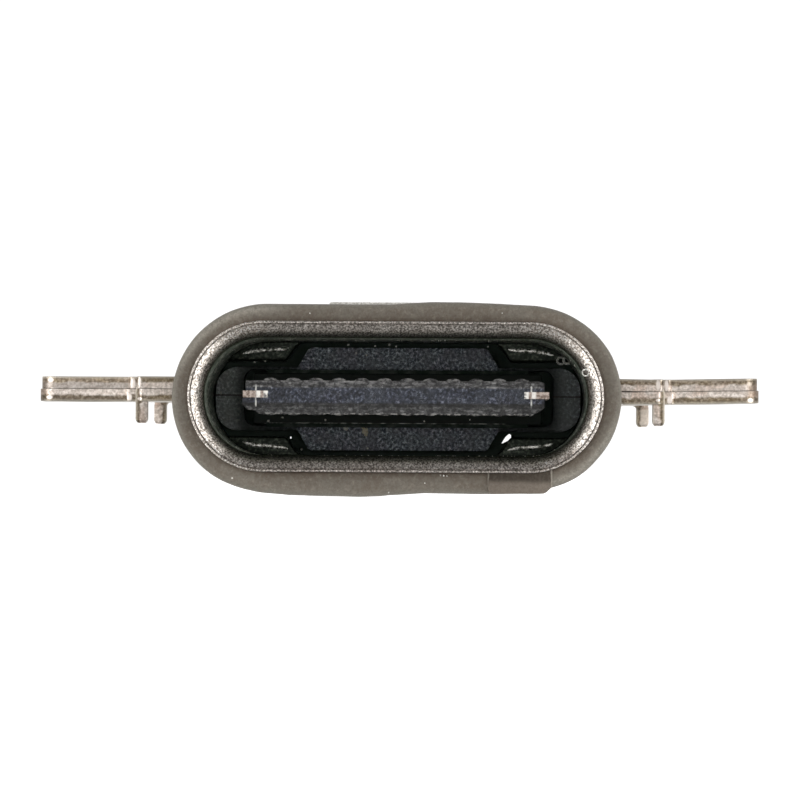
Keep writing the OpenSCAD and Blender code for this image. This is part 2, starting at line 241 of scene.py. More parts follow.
# ---------------------------------------------------------------- node helpers
class Shader:
    """A material's node tree, with one call per kind of node."""

    def __init__(self, name, colour=(0.5, 0.5, 0.5), roughness=0.5, metallic=0.0, **sockets):
        self.mat = bpy.data.materials.new(name)
        self.mat.use_nodes = True
        self.tree = self.mat.node_tree
        self.tree.nodes.clear()
        self.out = self.tree.nodes.new("ShaderNodeOutputMaterial")
        self.bsdf = self.tree.nodes.new("ShaderNodeBsdfPrincipled")
        self.tree.links.new(self.bsdf.outputs[0], self.out.inputs[0])
        self.bsdf.inputs["Base Color"].default_value = (*colour, 1)
        self.bsdf.inputs["Roughness"].default_value = roughness
        self.bsdf.inputs["Metallic"].default_value = metallic
        for key, value in sockets.items():
            self.bsdf.inputs[key.replace("_", " ")].default_value = value
        self._where = None

    def node(self, kind, **props):
        n = self.tree.nodes.new(kind)
        for k, v in props.items():
            setattr(n, k, v)
        return n

    def put(self, socket, value):
        if isinstance(value, bpy.types.NodeSocket):
            self.tree.links.new(value, socket)
        else:
            socket.default_value = value

    def where(self):
        if self._where is None:
            self._where = self.node("ShaderNodeTexCoord").outputs["Object"]
        return self._where

    def axes(self):
        n = self.node("ShaderNodeSeparateXYZ")
        self.put(n.inputs[0], self.where())
        return n.outputs

    def stretched(self, sx, sy, sz):
        n = self.node("ShaderNodeMapping")
        self.put(n.inputs["Vector"], self.where())
        n.inputs["Scale"].default_value = (sx, sy, sz)
        return n.outputs[0]

    def noise(self, per_mm, detail=3.0, rough=0.55, vector=None, distortion=0.0):
        n = self.node("ShaderNodeTexNoise")
        self.put(n.inputs["Vector"], vector or self.where())
        n.inputs["Scale"].default_value = per_mm * 1000.0
        n.inputs["Detail"].default_value = detail
        n.inputs["Roughness"].default_value = rough
        n.inputs["Distortion"].default_value = distortion
        return n.outputs["Fac"]

    def cells(self, per_mm, feature="F1", vector=None):
        n = self.node("ShaderNodeTexVoronoi", feature=feature)
        self.put(n.inputs["Vector"], vector or self.where())
        n.inputs["Scale"].default_value = per_mm * 1000.0
        return n.outputs["Distance"]

    def attribute(self, name):
        return self.node("ShaderNodeAttribute", attribute_name=name).outputs["Fac"]

    def span(self, value, a, b, c=0.0, d=1.0, smooth=True):
        n = self.node("ShaderNodeMapRange")
        n.interpolation_type = "SMOOTHSTEP" if smooth else "LINEAR"
        self.put(n.inputs["Value"], value)
        for key, v in (("From Min", a), ("From Max", b), ("To Min", c), ("To Max", d)):
            n.inputs[key].default_value = v
        return n.outputs["Result"]

    def math(self, op, a, b=0.0, clamp=False):
        n = self.node("ShaderNodeMath", operation=op, use_clamp=clamp)
        self.put(n.inputs[0], a)
        self.put(n.inputs[1], b)
        return n.outputs[0]

    def mix(self, fac, a, b, blend="MIX"):
        n = self.node("ShaderNodeMix", data_type="RGBA", blend_type=blend)
        self.put(n.inputs[0], fac)
        for i, v in ((6, a), (7, b)):
            self.put(n.inputs[i], (*v, 1) if isinstance(v, tuple) else v)
        return n.outputs[2]

    def ramp(self, fac, stops):
        n = self.node("ShaderNodeValToRGB")
        self.put(n.inputs[0], fac)
        e = n.color_ramp.elements
        while len(e) < len(stops):
            e.new(0.5)
        for el, (pos, col) in zip(e, stops):
            el.position = pos
            el.color = (*col, 1) if isinstance(col, tuple) else (col, col, col, 1)
        return n.outputs[0]

    def bump(self, height, depth_mm, strength=1.0, under=None):
        n = self.node("ShaderNodeBump")
        n.inputs["Strength"].default_value = strength
        n.inputs["Distance"].default_value = depth_mm * MM
        self.put(n.inputs["Height"], height)
        if under is not None:
            self.put(n.inputs["Normal"], under)
        return n.outputs[0]

    def colour(self, value):
        self.put(self.bsdf.inputs["Base Color"], value)

    def roughness(self, value):
        self.put(self.bsdf.inputs["Roughness"], value)

    def metallic(self, value):
        self.put(self.bsdf.inputs["Metallic"], value)

    def normal(self, value):
        self.put(self.bsdf.inputs["Normal"], value)


# ---------------------------------------------------------------- materials
def shell_steel():
    """Stainless steel, bead-blasted: fine bright and dark grains."""
    s = Shader("shell_steel", metallic=1.0)
    ax = s.axes()
    grain = s.noise(24, 2.0, 0.6)
    coarse = s.noise(5.5, 2.0, 0.5)
    stain = s.noise(0.9, 2.0, 0.5)
    tone = s.ramp(grain, [(0.37, (0.17, 0.157, 0.143)), (0.47, (0.39, 0.362, 0.337)), (0.55, (0.67, 0.625, 0.584)), (0.64, (0.98, 0.925, 0.882))])
    # painted highlight: the corners of the rolled-in edge are painted brighter, fully above and half as much below
    corners = s.math("MULTIPLY", s.span(s.math("ABSOLUTE", ax[0]), 2.6 * MM, 3.1 * MM), s.span(ax[2], 0.60 * MM, 0.95 * MM))
    beneath = s.math("MULTIPLY", s.span(s.math("ABSOLUTE", ax[0]), 2.6 * MM, 3.1 * MM), s.span(ax[2], -0.60 * MM, -0.95 * MM))
    tone = s.mix(s.math("ADD", corners, s.math("MULTIPLY", beneath, 0.5)), tone, (0.30, 0.29, 0.28), "DODGE")
    tone = s.mix(s.span(coarse, 0.42, 0.64, 0.0, 0.30), tone, (0.45, 0.42, 0.38), "MULTIPLY")
    tone = s.mix(s.span(stain, 0.42, 0.66, 0.0, 0.20), tone, (0.60, 0.52, 0.46), "MULTIPLY")
    # painted shade in the fine groove behind the rim bead
    tone = s.mix(s.span(s.attribute("groove"), 0.15, 0.75, 0.0, 0.6), tone, (0.10, 0.085, 0.075))
    within = s.attribute("within")  # 1 on everything turned towards the mouth
    tone = s.mix(s.math("MULTIPLY", s.math("SUBTRACT", 1.0, within), 0.6), tone, (0.50, 0.475, 0.445))
    # painted shade: the rolled-in edge turns darker, then dark green, further into the mouth; it is also darker near
    # the bottom
    tone = s.mix(s.math("MULTIPLY", within, s.span(ax[1], 0.07 * MM, 0.27 * MM)), tone, (0.40, 0.40, 0.385), "MULTIPLY")
    tone = s.mix(s.math("MULTIPLY", within, s.span(ax[1], 0.22 * MM, 0.36 * MM)), tone, (0.56, 0.70, 0.52), "MULTIPLY")
    low = s.math("MULTIPLY", s.span(ax[1], 0.05 * MM, 0.16 * MM), s.span(ax[2], -1.0 * MM, -1.3 * MM))
    tone = s.mix(s.math("MULTIPLY", within, low), tone, (0.68, 0.70, 0.66), "MULTIPLY")
    # the drawn walls inside are smooth, painted dark green as painted shade, with bright specks that stand for both
    # plug rub marks and painted glints
    inside = s.math("MULTIPLY", within, s.span(ax[1], 0.44 * MM, 0.80 * MM))
    speck = s.noise(1.0, 1.5, 0.5, s.stretched(11, 2.6, 11))
    rubbed = s.math("MULTIPLY", s.span(ax[1], 1.2 * MM, 2.0 * MM), s.span(ax[1], 4.6 * MM, 3.8 * MM))
    flecks = s.span(s.math("ADD", speck, s.math("MULTIPLY", rubbed, 0.085)), 0.59, 0.64)
    walls = s.mix(flecks, s.mix(s.span(coarse, 0.4, 0.6), (0.13, 0.165, 0.13), (0.30, 0.35, 0.29)), (0.66, 0.68, 0.61))
    s.colour(s.mix(inside, tone, walls))
    s.metallic(s.math("SUBTRACT", 1.0, s.math("MULTIPLY", inside, 0.6)))
    s.roughness(s.mix(inside, s.span(grain, 0.3, 0.7, 0.44, 0.30), (0.42, 0.42, 0.42)))
    s.normal(s.bump(grain, 0.006, 0.8, s.bump(coarse, 0.008, 0.5)))
    return s.mat


def stop_steel():
    """The four stops inside, painted nearly black as painted shade deep in the shell."""
    s = Shader("stop_steel", metallic=0.5)
    fine = s.noise(16, 2.0, 0.6)
    s.colour(s.ramp(fine, [(0.40, (0.017, 0.025, 0.017)), (0.55, (0.032, 0.044, 0.031)), (0.70, (0.10, 0.117, 0.088))]))
    s.roughness(s.span(fine, 0.35, 0.65, 0.55, 0.35))
    s.normal(s.bump(fine, 0.006, 0.6))
    return s.mat


def bead_steel():
    """The burnished ridge on each stop."""
    s = Shader("bead_steel", metallic=0.85)
    fine = s.noise(13, 2.0, 0.6)
    s.colour(s.ramp(fine, [(0.38, (0.10, 0.11, 0.09)), (0.47, (0.42, 0.42, 0.39)), (0.58, (0.95, 0.94, 0.90))]))
    s.roughness(s.span(fine, 0.35, 0.65, 0.45, 0.30))
    s.normal(s.bump(fine, 0.006, 0.7))
    return s.mat


# painted highlights on the brackets' cut edges: (x, z, half width, half height, strength)
SPOTS = [
    (-7.700, 0.370, 0.066, 0.046, 0.85), (-7.725, -0.015, 0.075, 0.042, 0.80), (7.850, 0.005, 0.072, 0.046, 0.80), (7.82, 0.365, 0.07, 0.05, 0.25),
    (-5.863, 0.305, 0.055, 0.125, 1.0), (-5.686, 0.340, 0.038, 0.110, 0.9), (-5.938, -0.010, 0.055, 0.085, 1.0), (-5.686, -0.044, 0.055, 0.035, 0.9),
    (5.772, 0.320, 0.050, 0.120, 0.8), (5.973, 0.325, 0.045, 0.130, 0.9), (6.046, -0.010, 0.058, 0.095, 1.0), (5.772, -0.017, 0.050, 0.035, 0.8),
]


def sheet_steel():
    """Rolled sheet: faint rolling lines on its faces, and sheared edges, each with a smooth half painted dark as
    painted reflection, lighter towards the outer face as painted highlight, and a rough bright half next to the seam
    between the two sheets."""
    s = Shader("sheet_steel", metallic=1.0)
    through = s.attribute("through")  # -1 at the face next to the other sheet, 1 at the outer face
    cut = s.attribute("cut")  # 1 on the sheared edge
    ax = s.axes()
    fine = s.noise(17, 2.0, 0.6)
    mid = s.noise(6, 3.0, 0.6)
    warm = s.noise(2.2, 2.0, 0.5)
    lines = s.noise(1.0, 3.0, 0.6, s.stretched(3, 40, 3))
    drag = s.noise(1.0, 3.0, 0.6, s.stretched(3.2, 6, 13))
    face = s.mix(s.span(lines, 0.35, 0.65), (0.50, 0.47, 0.43), (0.68, 0.65, 0.60))
    face = s.mix(s.span(mid, 0.45, 0.70, 0.0, 0.35), face, (0.40, 0.36, 0.32))
    torn = s.ramp(fine, [(0.36, (0.54, 0.485, 0.435)), (0.50, (0.72, 0.65, 0.60)), (0.64, (0.90, 0.835, 0.785))])
    torn = s.mix(s.span(drag, 0.42, 0.60, 0.0, 0.35), torn, (0.62, 0.56, 0.52), "MULTIPLY")
    torn = s.mix(s.span(warm, 0.48, 0.62, 0.0, 0.5), torn, (0.93, 0.80, 0.72), "MULTIPLY")
    # painted shade on the rounded tips of the ears
    corner = s.span(s.math("ABSOLUTE", ax[0]), 7.72 * MM, 7.84 * MM)
    torn = s.mix(corner, torn, (0.58, 0.53, 0.48), "MULTIPLY")
    # painted light on the rear legs
    rear = s.math("MULTIPLY", s.span(ax[1], 6.5 * MM, 6.7 * MM), s.span(ax[2], -0.10 * MM, -0.14 * MM))
    torn = s.mix(rear, torn, (1.30, 1.28, 1.26), "MULTIPLY")
    # painted reflection: the smooth half is painted dark for the dark front that it mirrors
    shear = s.ramp(fine, [(0.36, (0.135, 0.108, 0.080)), (0.52, (0.225, 0.183, 0.140)), (0.66, (0.36, 0.31, 0.25))])
    shear = s.mix(s.span(drag, 0.42, 0.62, 0.0, 0.4), shear, (1.35, 1.30, 1.22), "MULTIPLY")
    shear = s.mix(s.span(s.noise(1.6, 2.0, 0.5), 0.45, 0.62, 0.0, 0.6), shear, (0.86, 0.84, 0.70), "MULTIPLY")
    # painted highlight on the smooth half towards the outer face
    shear = s.mix(s.span(through, 0.50, 1.0, 0.0, 0.75), shear, (0.60, 0.55, 0.47))
    # painted light and shade: the ears' cut edges made lighter or darker by side and by sheet
    left = s.span(ax[0], 0.5 * MM, -0.5 * MM)
    upper = s.span(ax[2], 0.172 * MM, 0.188 * MM)
    ear = s.span(s.math("ABSOLUTE", ax[0]), 5.6 * MM, 5.9 * MM)
    shear = s.mix(ear, shear, s.mix(upper, s.mix(left, (1.04, 1.04, 1.04), (0.76, 0.76, 0.76)), s.mix(left, (1.10, 1.10, 1.12), (1.36, 1.36, 1.38))), "MULTIPLY")
    torn = s.mix(ear, torn, s.mix(upper, s.mix(left, (1.06, 1.06, 1.06), (1.05, 1.05, 1.05)), s.mix(left, (0.93, 0.93, 0.93), (0.73, 0.73, 0.73))), "MULTIPLY")
    # painted highlight on the right rear leg; the parts below the ears are made a little darker
    bright = s.math("MULTIPLY", s.math("MULTIPLY", s.span(ax[0], 5.36 * MM, 5.42 * MM), s.span(ax[0], 5.72 * MM, 5.66 * MM)), s.span(ax[2], -0.17 * MM, -0.22 * MM))
    lower = s.math("MULTIPLY", s.math("SUBTRACT", 1.0, ear), s.span(ax[2], -0.12 * MM, -0.16 * MM))
    torn = s.mix(lower, torn, (0.84, 0.84, 0.84), "MULTIPLY")
    shear = s.mix(lower, shear, (0.84, 0.84, 0.84), "MULTIPLY")
    torn = s.mix(s.math("MULTIPLY", bright, 0.65), torn, (0.90, 0.84, 0.76))
    shear = s.mix(bright, shear, (1.5, 1.5, 1.5), "MULTIPLY")
    legs = s.span(ax[2], -0.12 * MM, -0.17 * MM, 0.0, 0.30)
    ragged = s.math("SUBTRACT", s.math("ADD", through, s.math("MULTIPLY", s.math("SUBTRACT", s.noise(5.0, 3.0, 0.6), 0.5), 0.85)), legs)
    dark = s.span(ragged, -0.20, 0.20)
    edge = s.mix(dark, torn, shear)
    # small painted highlights on the cut edges, at the ears' tips and at the steps beside the legs
    for cx, cz, hx, hz, much in SPOTS:
        u = s.math("DIVIDE", s.math("SUBTRACT", ax[0], cx * MM), hx * MM)
        v = s.math("DIVIDE", s.math("SUBTRACT", ax[2], cz * MM), hz * MM)
        d = s.math("ADD", s.math("MULTIPLY", u, u), s.math("MULTIPLY", v, v))
        edge = s.mix(s.math("MULTIPLY", s.span(d, 1.5, 0.3), much), edge, (0.90, 0.825, 0.775))
    s.colour(s.mix(cut, face, edge))
    s.roughness(s.mix(cut, s.mix(lines, (0.24, 0.24, 0.24), (0.40, 0.40, 0.40)), s.mix(dark, (0.50, 0.50, 0.50), (0.42, 0.42, 0.42))))
    s.normal(s.bump(fine, 0.005, 0.7, s.bump(drag, 0.006, 0.6)))
    return s.mat


def lip_steel():
    """The raised front edge of the upper bracket, bright and matt."""
    s = Shader("lip_steel", metallic=0.35)
    fine = s.noise(18, 2.0, 0.6)
    s.colour(s.mix(s.span(fine, 0.38, 0.62), (0.62, 0.60, 0.56), (0.95, 0.93, 0.90)))
    s.roughness(s.span(fine, 0.35, 0.65, 0.6, 0.45))
    s.normal(s.bump(fine, 0.005, 0.5))
    return s.mat


def seal_rubber(name="seal_rubber", patch=False):
    """Grey-brown silicone rubber with dust, and painted shade next to the shell; the ring has painted light along its
    outer edge and at two opposite corners, the patch painted highlights along its sides.
    """
    s = Shader(name, roughness=0.62, Specular_IOR_Level=0.35)
    soft = s.noise(1.3, 3.0, 0.6)
    fine = s.noise(24, 2.0, 0.6)
    dust = s.noise(8, 4.0, 0.7)
    tone = s.mix(s.span(soft, 0.36, 0.64), (0.156, 0.132, 0.106), (0.178, 0.160, 0.134))
    if not patch:
        # painted light: pale on the outer side at two opposite corners
        xyz = s.axes()
        slant = s.math("ABSOLUTE", s.math("SUBTRACT", s.math("MULTIPLY", xyz[2], 1.6), xyz[0]))
        pale = s.math("MULTIPLY", s.span(slant, 5.2 * MM, 6.3 * MM), s.span(s.attribute("across"), 0.35, 0.85, 0.0, 0.75))
        tone = s.mix(pale, tone, (0.42, 0.40, 0.352))
    if patch:
        # painted shade across the top of the patch, under the shell, and painted highlights along its two sides
        z = s.math("ADD", s.axes()[2], s.math("MULTIPLY", s.math("SUBTRACT", soft, 0.5), 0.10 * MM))
        tone = s.mix(s.span(z, -1.91 * MM, -1.77 * MM), (0.182, 0.154, 0.127), (0.052, 0.040, 0.029))
        for at in (2.03, 3.40):
            away = s.math("ABSOLUTE", s.math("SUBTRACT", s.axes()[0], s.math("ADD", at * MM, s.math("MULTIPLY", s.math("SUBTRACT", soft, 0.5), 0.16 * MM))))
            tone = s.mix(s.span(away, 0.026 * MM, 0.012 * MM, 0.0, 0.75), tone, (0.34, 0.315, 0.275))
    else:
        across = s.attribute("across")
        # painted shade next to the shell, and painted light along the outer edge
        tone = s.mix(s.span(across, 0.05, 0.40, 0.70, 0.0), tone, (0.134, 0.103, 0.080))
        tone = s.mix(s.span(across, 0.62, 0.98, 0.0, 0.8), tone, (0.215, 0.203, 0.172))
    tone = s.mix(s.span(dust, 0.50, 0.68, 0.0, 0.10 if patch else 0.50), tone, (0.30, 0.272, 0.234))
    tone = s.mix(s.span(fine, 0.42, 0.62, 0.0, 0.30), tone, (0.085, 0.073, 0.058))
    tone = s.mix(s.span(s.noise(11, 2.0, 0.5), 0.50, 0.64, 0.0, 0.10 if patch else 0.40), tone, (0.20, 0.183, 0.155))
    tone = s.mix(s.span(s.noise(10, 2.0, 0.5, s.stretched(1.1, 1.0, 0.9)), 0.54, 0.68, 0.0, 0.30), tone, (0.11, 0.092, 0.074))
    s.colour(tone)
    s.roughness(s.span(dust, 0.4, 0.7, 0.55, 0.75))
    s.normal(s.bump(fine, 0.004, 0.5, s.bump(s.noise(6, 2.0, 0.5), 0.006, 0.4)))
    return s.mat


def body_plastic():
    """Grey-black glass-filled plastic, grainy and scratched, with painted shade and painted light on its faces deep in
    the mouth.
    """
    s = Shader("body_plastic", roughness=0.55, Specular_IOR_Level=0.4)
    ax = s.axes()
    fine = s.noise(15, 3.0, 0.7)
    blot = s.noise(2.6, 3.0, 0.6)
    hue = s.noise(1.7, 2.0, 0.5)
    rubs = s.noise(10, 2.0, 0.6, None, 0.8)
    tone = s.ramp(fine, [(0.38, (0.006, 0.0075, 0.011)), (0.47, (0.018, 0.021, 0.029)), (0.56, (0.056, 0.060, 0.076)), (0.66, (0.19, 0.195, 0.215))])
    tone = s.mix(s.span(rubs, 0.40, 0.62, 0.0, 0.8), (0.45, 0.45, 0.47), (1.75, 1.75, 1.78))
    tone = s.mix(1.0, s.ramp(fine, [(0.38, (0.009, 0.011, 0.016)), (0.48, (0.022, 0.025, 0.034)), (0.57, (0.052, 0.056, 0.070)), (0.67, (0.15, 0.155, 0.17))]), tone, "MULTIPLY")
    tone = s.mix(s.span(blot, 0.44, 0.62, 0.0, 0.55), tone, (0.030, 0.033, 0.039))
    tone = s.mix(s.span(hue, 0.46, 0.60, 0.0, 0.5), tone, (0.95, 0.88, 0.92), "MULTIPLY")
    # fine curved scratches left by plugs
    swirl = s.noise(3.5, 2.0, 0.5, None, 2.2)
    line = s.math("ABSOLUTE", s.math("SUBTRACT", swirl, 0.5))
    scratch = s.math("MULTIPLY", s.span(line, 0.016, 0.004), s.span(s.noise(2.4, 1.0, 0.5), 0.44, 0.60))
    tone = s.mix(s.math("MULTIPLY", scratch, 0.60), tone, (0.18, 0.187, 0.20))
    # the tongue's end: dull streaked bands above and below, lighter at the top and darker at the bottom, parted by two
    # dark lines of painted shade
    front = s.span(ax[1], 1.50 * MM, 1.20 * MM)
    z = ax[2]
    band = s.span(s.math("ABSOLUTE", s.math("SUBTRACT", z, 0.03 * MM)), 0.14 * MM, 0.20 * MM)
    streak = s.noise(1.0, 4.0, 0.7, s.stretched(4.5, 5, 16))
    dark_tone = s.ramp(streak, [(0.36, (0.012, 0.011, 0.011)), (0.47, (0.036, 0.035, 0.034)), (0.56, (0.078, 0.076, 0.074)), (0.68, (0.19, 0.186, 0.178))])
    dark_tone = s.mix(1.0, dark_tone, s.mix(s.span(rubs, 0.38, 0.60), (0.42, 0.42, 0.42), (1.8, 1.8, 1.78)), "MULTIPLY")
    tone = s.mix(s.math("MULTIPLY", s.math("MULTIPLY", front, band), 0.88), tone, dark_tone)
    tone = s.mix(s.math("MULTIPLY", front, s.span(z, 0.16 * MM, 0.22 * MM)), tone, (1.16, 1.17, 1.22), "MULTIPLY")
    tone = s.mix(s.math("MULTIPLY", front, s.span(z, -0.10 * MM, -0.16 * MM)), tone, (0.73, 0.75, 0.78), "MULTIPLY")
    tone = s.mix(s.math("MULTIPLY", front, s.math("SUBTRACT", 1.0, band)), tone, (0.82, 0.87, 0.98), "MULTIPLY")
    # painted shade: two dark lines across the tongue's end
    for at, half, depth in ((-0.175, 0.045, 0.42), (0.262, 0.030, 0.70)):
        away = s.math("ABSOLUTE", s.math("SUBTRACT", z, at * MM))
        tone = s.mix(s.math("MULTIPLY", s.span(away, half * 1.4 * MM, half * 0.6 * MM), front), tone, (depth, depth, depth), "MULTIPLY")
    # frayed pale fibres along its upper and lower edges
    fray = s.span(s.noise(1.0, 2.0, 0.6, s.stretched(9, 4, 14)), 0.46, 0.60)
    fringe = s.math("ADD", s.span(z, -0.340 * MM, -0.366 * MM, 0.0, 0.75), s.span(z, 0.335 * MM, 0.362 * MM, 0.0, 0.45))
    tone = s.mix(s.math("MULTIPLY", s.math("MULTIPLY", fringe, fray), front), tone, (0.36, 0.355, 0.345))
    # the moulding lines beside the plate's tips
    beside = s.math("ABSOLUTE", s.math("SUBTRACT", s.math("ABSOLUTE", s.math("ADD", ax[0], 0.053 * MM)), 3.008 * MM))
    ridge = s.math("MULTIPLY", s.span(beside, 0.024 * MM, 0.008 * MM), s.span(s.math("ABSOLUTE", s.math("SUBTRACT", z, 0.02 * MM)), 0.26 * MM, 0.20 * MM))
    ridge = s.math("MULTIPLY", s.math("MULTIPLY", ridge, front), s.span(s.noise(9, 2.0, 0.5), 0.36, 0.54, 0.25, 1.0))
    tone = s.mix(ridge, tone, (0.62, 0.62, 0.60))
    # painted shade: the root deep in the mouth is painted near black, and the recess further in a dark green
    deep = s.span(ax[1], 3.4 * MM, 4.4 * MM)
    tone = s.mix(deep, tone, (0.0062, 0.0120, 0.0092))
    tone = s.mix(s.math("MULTIPLY", s.span(ax[1], 6.6 * MM, 6.8 * MM), s.span(ax[1], 7.6 * MM, 7.4 * MM)), tone, (0.050, 0.075, 0.060))
    # painted highlight along the lower front edge of the root
    edge = s.math("MULTIPLY", s.span(ax[1], 4.93 * MM, 4.90 * MM), s.span(z, -0.535 * MM, -0.552 * MM))
    edge = s.math("MULTIPLY", s.math("MULTIPLY", edge, deep), s.span(s.math("ABSOLUTE", s.math("ADD", ax[0], 0.28 * MM)), 2.72 * MM, 2.60 * MM))
    edge = s.math("MULTIPLY", edge, s.span(s.noise(3.5, 3.0, 0.6), 0.44, 0.60, 0.08, 0.8))
    tone = s.mix(edge, tone, (0.60, 0.62, 0.58))
    # painted light: the base face is painted far paler than the plastic, its lobes flatter and lighter, the left side
    # lighter still
    floor = s.math("MULTIPLY", s.span(ax[1], 6.12 * MM, 6.17 * MM), s.span(ax[1], 6.26 * MM, 6.22 * MM))
    ground = s.ramp(fine, [(0.38, (0.048, 0.061, 0.084)), (0.48, (0.170, 0.201, 0.245)), (0.56, (0.42, 0.468, 0.54)), (0.66, (0.92, 0.97, 1.0))])
    ground = s.mix(s.span(blot, 0.42, 0.62, 0.0, 0.45), ground, (0.21, 0.22, 0.25))
    ground = s.mix(s.span(hue, 0.46, 0.60, 0.0, 0.6), ground, (0.96, 0.86, 0.92), "MULTIPLY")
    lobes = s.span(s.math("ABSOLUTE", ax[0]), 2.6 * MM, 3.3 * MM)
    ground = s.mix(s.math("MULTIPLY", lobes, 0.55), ground, (0.285, 0.30, 0.295))
    ground = s.mix(s.span(ax[0], -2.6 * MM, -3.3 * MM), ground, (1.24, 1.23, 1.16), "MULTIPLY")
    shade = s.span(s.math("ABSOLUTE", ax[0]), 3.46 * MM, 3.85 * MM, 0.55, 0.0)
    ground = s.mix(s.math("MULTIPLY", shade, lobes), ground, (0.035, 0.045, 0.045))
    # painted shade in the strip between the lobes and the trapezoids
    strip = s.math("MULTIPLY", s.span(s.math("ABSOLUTE", ax[0]), 2.22 * MM, 2.32 * MM), s.span(s.math("ABSOLUTE", ax[0]), 3.75 * MM, 3.40 * MM))
    ground = s.mix(s.math("MULTIPLY", strip, 0.85), ground, (0.020, 0.028, 0.026))
    parting = s.math("MULTIPLY", s.span(s.math("ABSOLUTE", s.math("SUBTRACT", z, 0.075 * MM)), 0.022 * MM, 0.008 * MM), lobes)
    ground = s.mix(parting, ground, (0.05, 0.03, 0.03))
    s.colour(s.mix(floor, tone, ground))
    s.roughness(s.mix(deep, s.span(fine, 0.35, 0.7, 0.62, 0.42), s.mix(floor, (0.72, 0.72, 0.72), (0.55, 0.55, 0.55))))
    s.normal(s.bump(fine, 0.008, 0.7))
    return s.mat


def carrier_plastic():
    s = Shader("carrier_plastic", roughness=0.5)
    fine = s.noise(18, 3.0, 0.6)
    s.colour(s.mix(s.span(fine, 0.35, 0.7), (0.030, 0.032, 0.037), (0.085, 0.088, 0.096)))
    s.roughness(s.span(s.noise(6), 0.35, 0.65, 0.42, 0.6))
    s.normal(s.bump(fine, 0.004, 0.5))
    return s.mat


def plate_steel():
    """Hard stainless plate: coppery bruises at its bright tips, and painted near black further in as painted shade."""
    s = Shader("plate_steel", metallic=1.0)
    ax = s.axes()
    fine = s.noise(15, 2.0, 0.6)
    rub = s.noise(5, 3.0, 0.6)
    x = s.math("ABSOLUTE", ax[0])
    tone = s.mix(s.span(fine, 0.40, 0.60), (0.20, 0.155, 0.131), (0.40, 0.34, 0.306))
    ring = s.span(s.math("ABSOLUTE", s.math("SUBTRACT", x, 2.93 * MM)), 0.022 * MM, 0.045 * MM)
    white = s.math("MULTIPLY", s.span(x, 3.08 * MM, 3.03 * MM), s.math("MULTIPLY", ring, s.span(rub, 0.40, 0.56, 0.35, 1.0)))
    tone = s.mix(white, tone, (0.76, 0.74, 0.71))
    tone = s.mix(s.math("MULTIPLY", s.span(x, 2.90 * MM, 2.86 * MM), s.span(rub, 0.6, 0.45)), tone, (0.10, 0.10, 0.10))
    # painted shade: near black deeper in the mouth
    deep = s.span(ax[1], 3.9 * MM, 4.4 * MM)
    dark_tone = s.mix(s.span(rub, 0.42, 0.65), (0.010, 0.015, 0.012), (0.030, 0.036, 0.032))
    s.colour(s.mix(deep, tone, dark_tone))
    s.roughness(s.mix(deep, s.span(fine, 0.35, 0.65, 0.46, 0.30), (0.5, 0.5, 0.5)))
    s.normal(s.bump(fine, 0.008, 0.7))
    return s.mat


def contact_metal():
    s = Shader("contact_metal", metallic=1.0)
    fine = s.noise(22, 3.0, 0.6)
    wear = s.noise(2.2, 3.0, 0.6)
    tone = s.mix(s.span(fine, 0.35, 0.65), (0.62, 0.47, 0.26), (0.86, 0.70, 0.42))
    tone = s.mix(s.span(wear, 0.50, 0.75, 0.0, 0.6), tone, (0.55, 0.52, 0.47))
    s.colour(tone)
    s.roughness(s.span(wear, 0.4, 0.7, 0.26, 0.42))
    s.normal(s.bump(fine, 0.003, 0.4))
    return s.mat


def dust(name, low, high, roughness=0.7):
    s = Shader(name, roughness=roughness)
    fine = s.noise(30, 3.0, 0.6)
    s.colour(s.mix(s.span(fine, 0.35, 0.65), low, high))
    s.normal(s.bump(fine, 0.006, 0.6))
    return s.mat


STEEL = shell_steel()
STOP = stop_steel()
BEAD = bead_steel()
LIP = lip_steel()
PATCH = seal_rubber("patch_rubber", True)
SHEET = sheet_steel()
RUBBER = seal_rubber()
PLASTIC = body_plastic()
CARRIER = carrier_plastic()
PLATE = plate_steel()
CONTACT = contact_metal()

# ---------------------------------------------------------------- shell
SPINE = 2.89
R_OUT, R_IN = 1.635, 1.28


def wall_profile():
    """(r, y, grain, groove, within) round the wall: grain is how far blasting roughens the surface."""
    loop = []
    for i in range(7):  # a fine rounded bead round the rim
        a = math.radians(180 * i / 6)
        loop.append((R_OUT - 0.027 + 0.027 * math.cos(a), 0.027 - 0.027 * math.sin(a), 0.5, 0, 1))
    loop += [(1.577, 0.050, 0.2, 1, 1), (1.566, 0.052, 0.2, 1, 1)]
    for i in range(19):  # the rolled-in edge, steeper and steeper
        a = math.radians(24 + 65 * i / 18)
        loop.append((1.745 - 0.465 * math.sin(a), 0.016 + 0.465 * (math.cos(math.radians(24)) - math.cos(a)), 1.0, 0, 1))
    for y in (0.48, 0.55, 0.65, 0.85, 1.1, 1.4, 1.8, 2.3, 2.9, 3.5, 4.2, 4.9, 5.5, 6.1, 6.8, 7.4):
        loop.append((R_IN, y, 0.5, 0, 1))
    loop += [(R_IN + 0.02, 7.58, 0.2, 0, 1), (R_IN + 0.05, 7.60, 0.2, 0, 0), (R_OUT - 0.05, 7.60, 0.2, 0, 0), (R_OUT - 0.02, 7.58, 0.2, 0, 0), (R_OUT, 7.53, 0.2, 0, 0)]
    for y in (6.8, 5.8, 4.8, 3.8, 2.9, 2.2, 1.6, 1.2, 0.9, 0.6, 0.40, 0.25, 0.14, 0.09):
        loop.append((R_OUT, y, 0.4 if y < 1.0 else 0.0, 0, 0))
    return loop


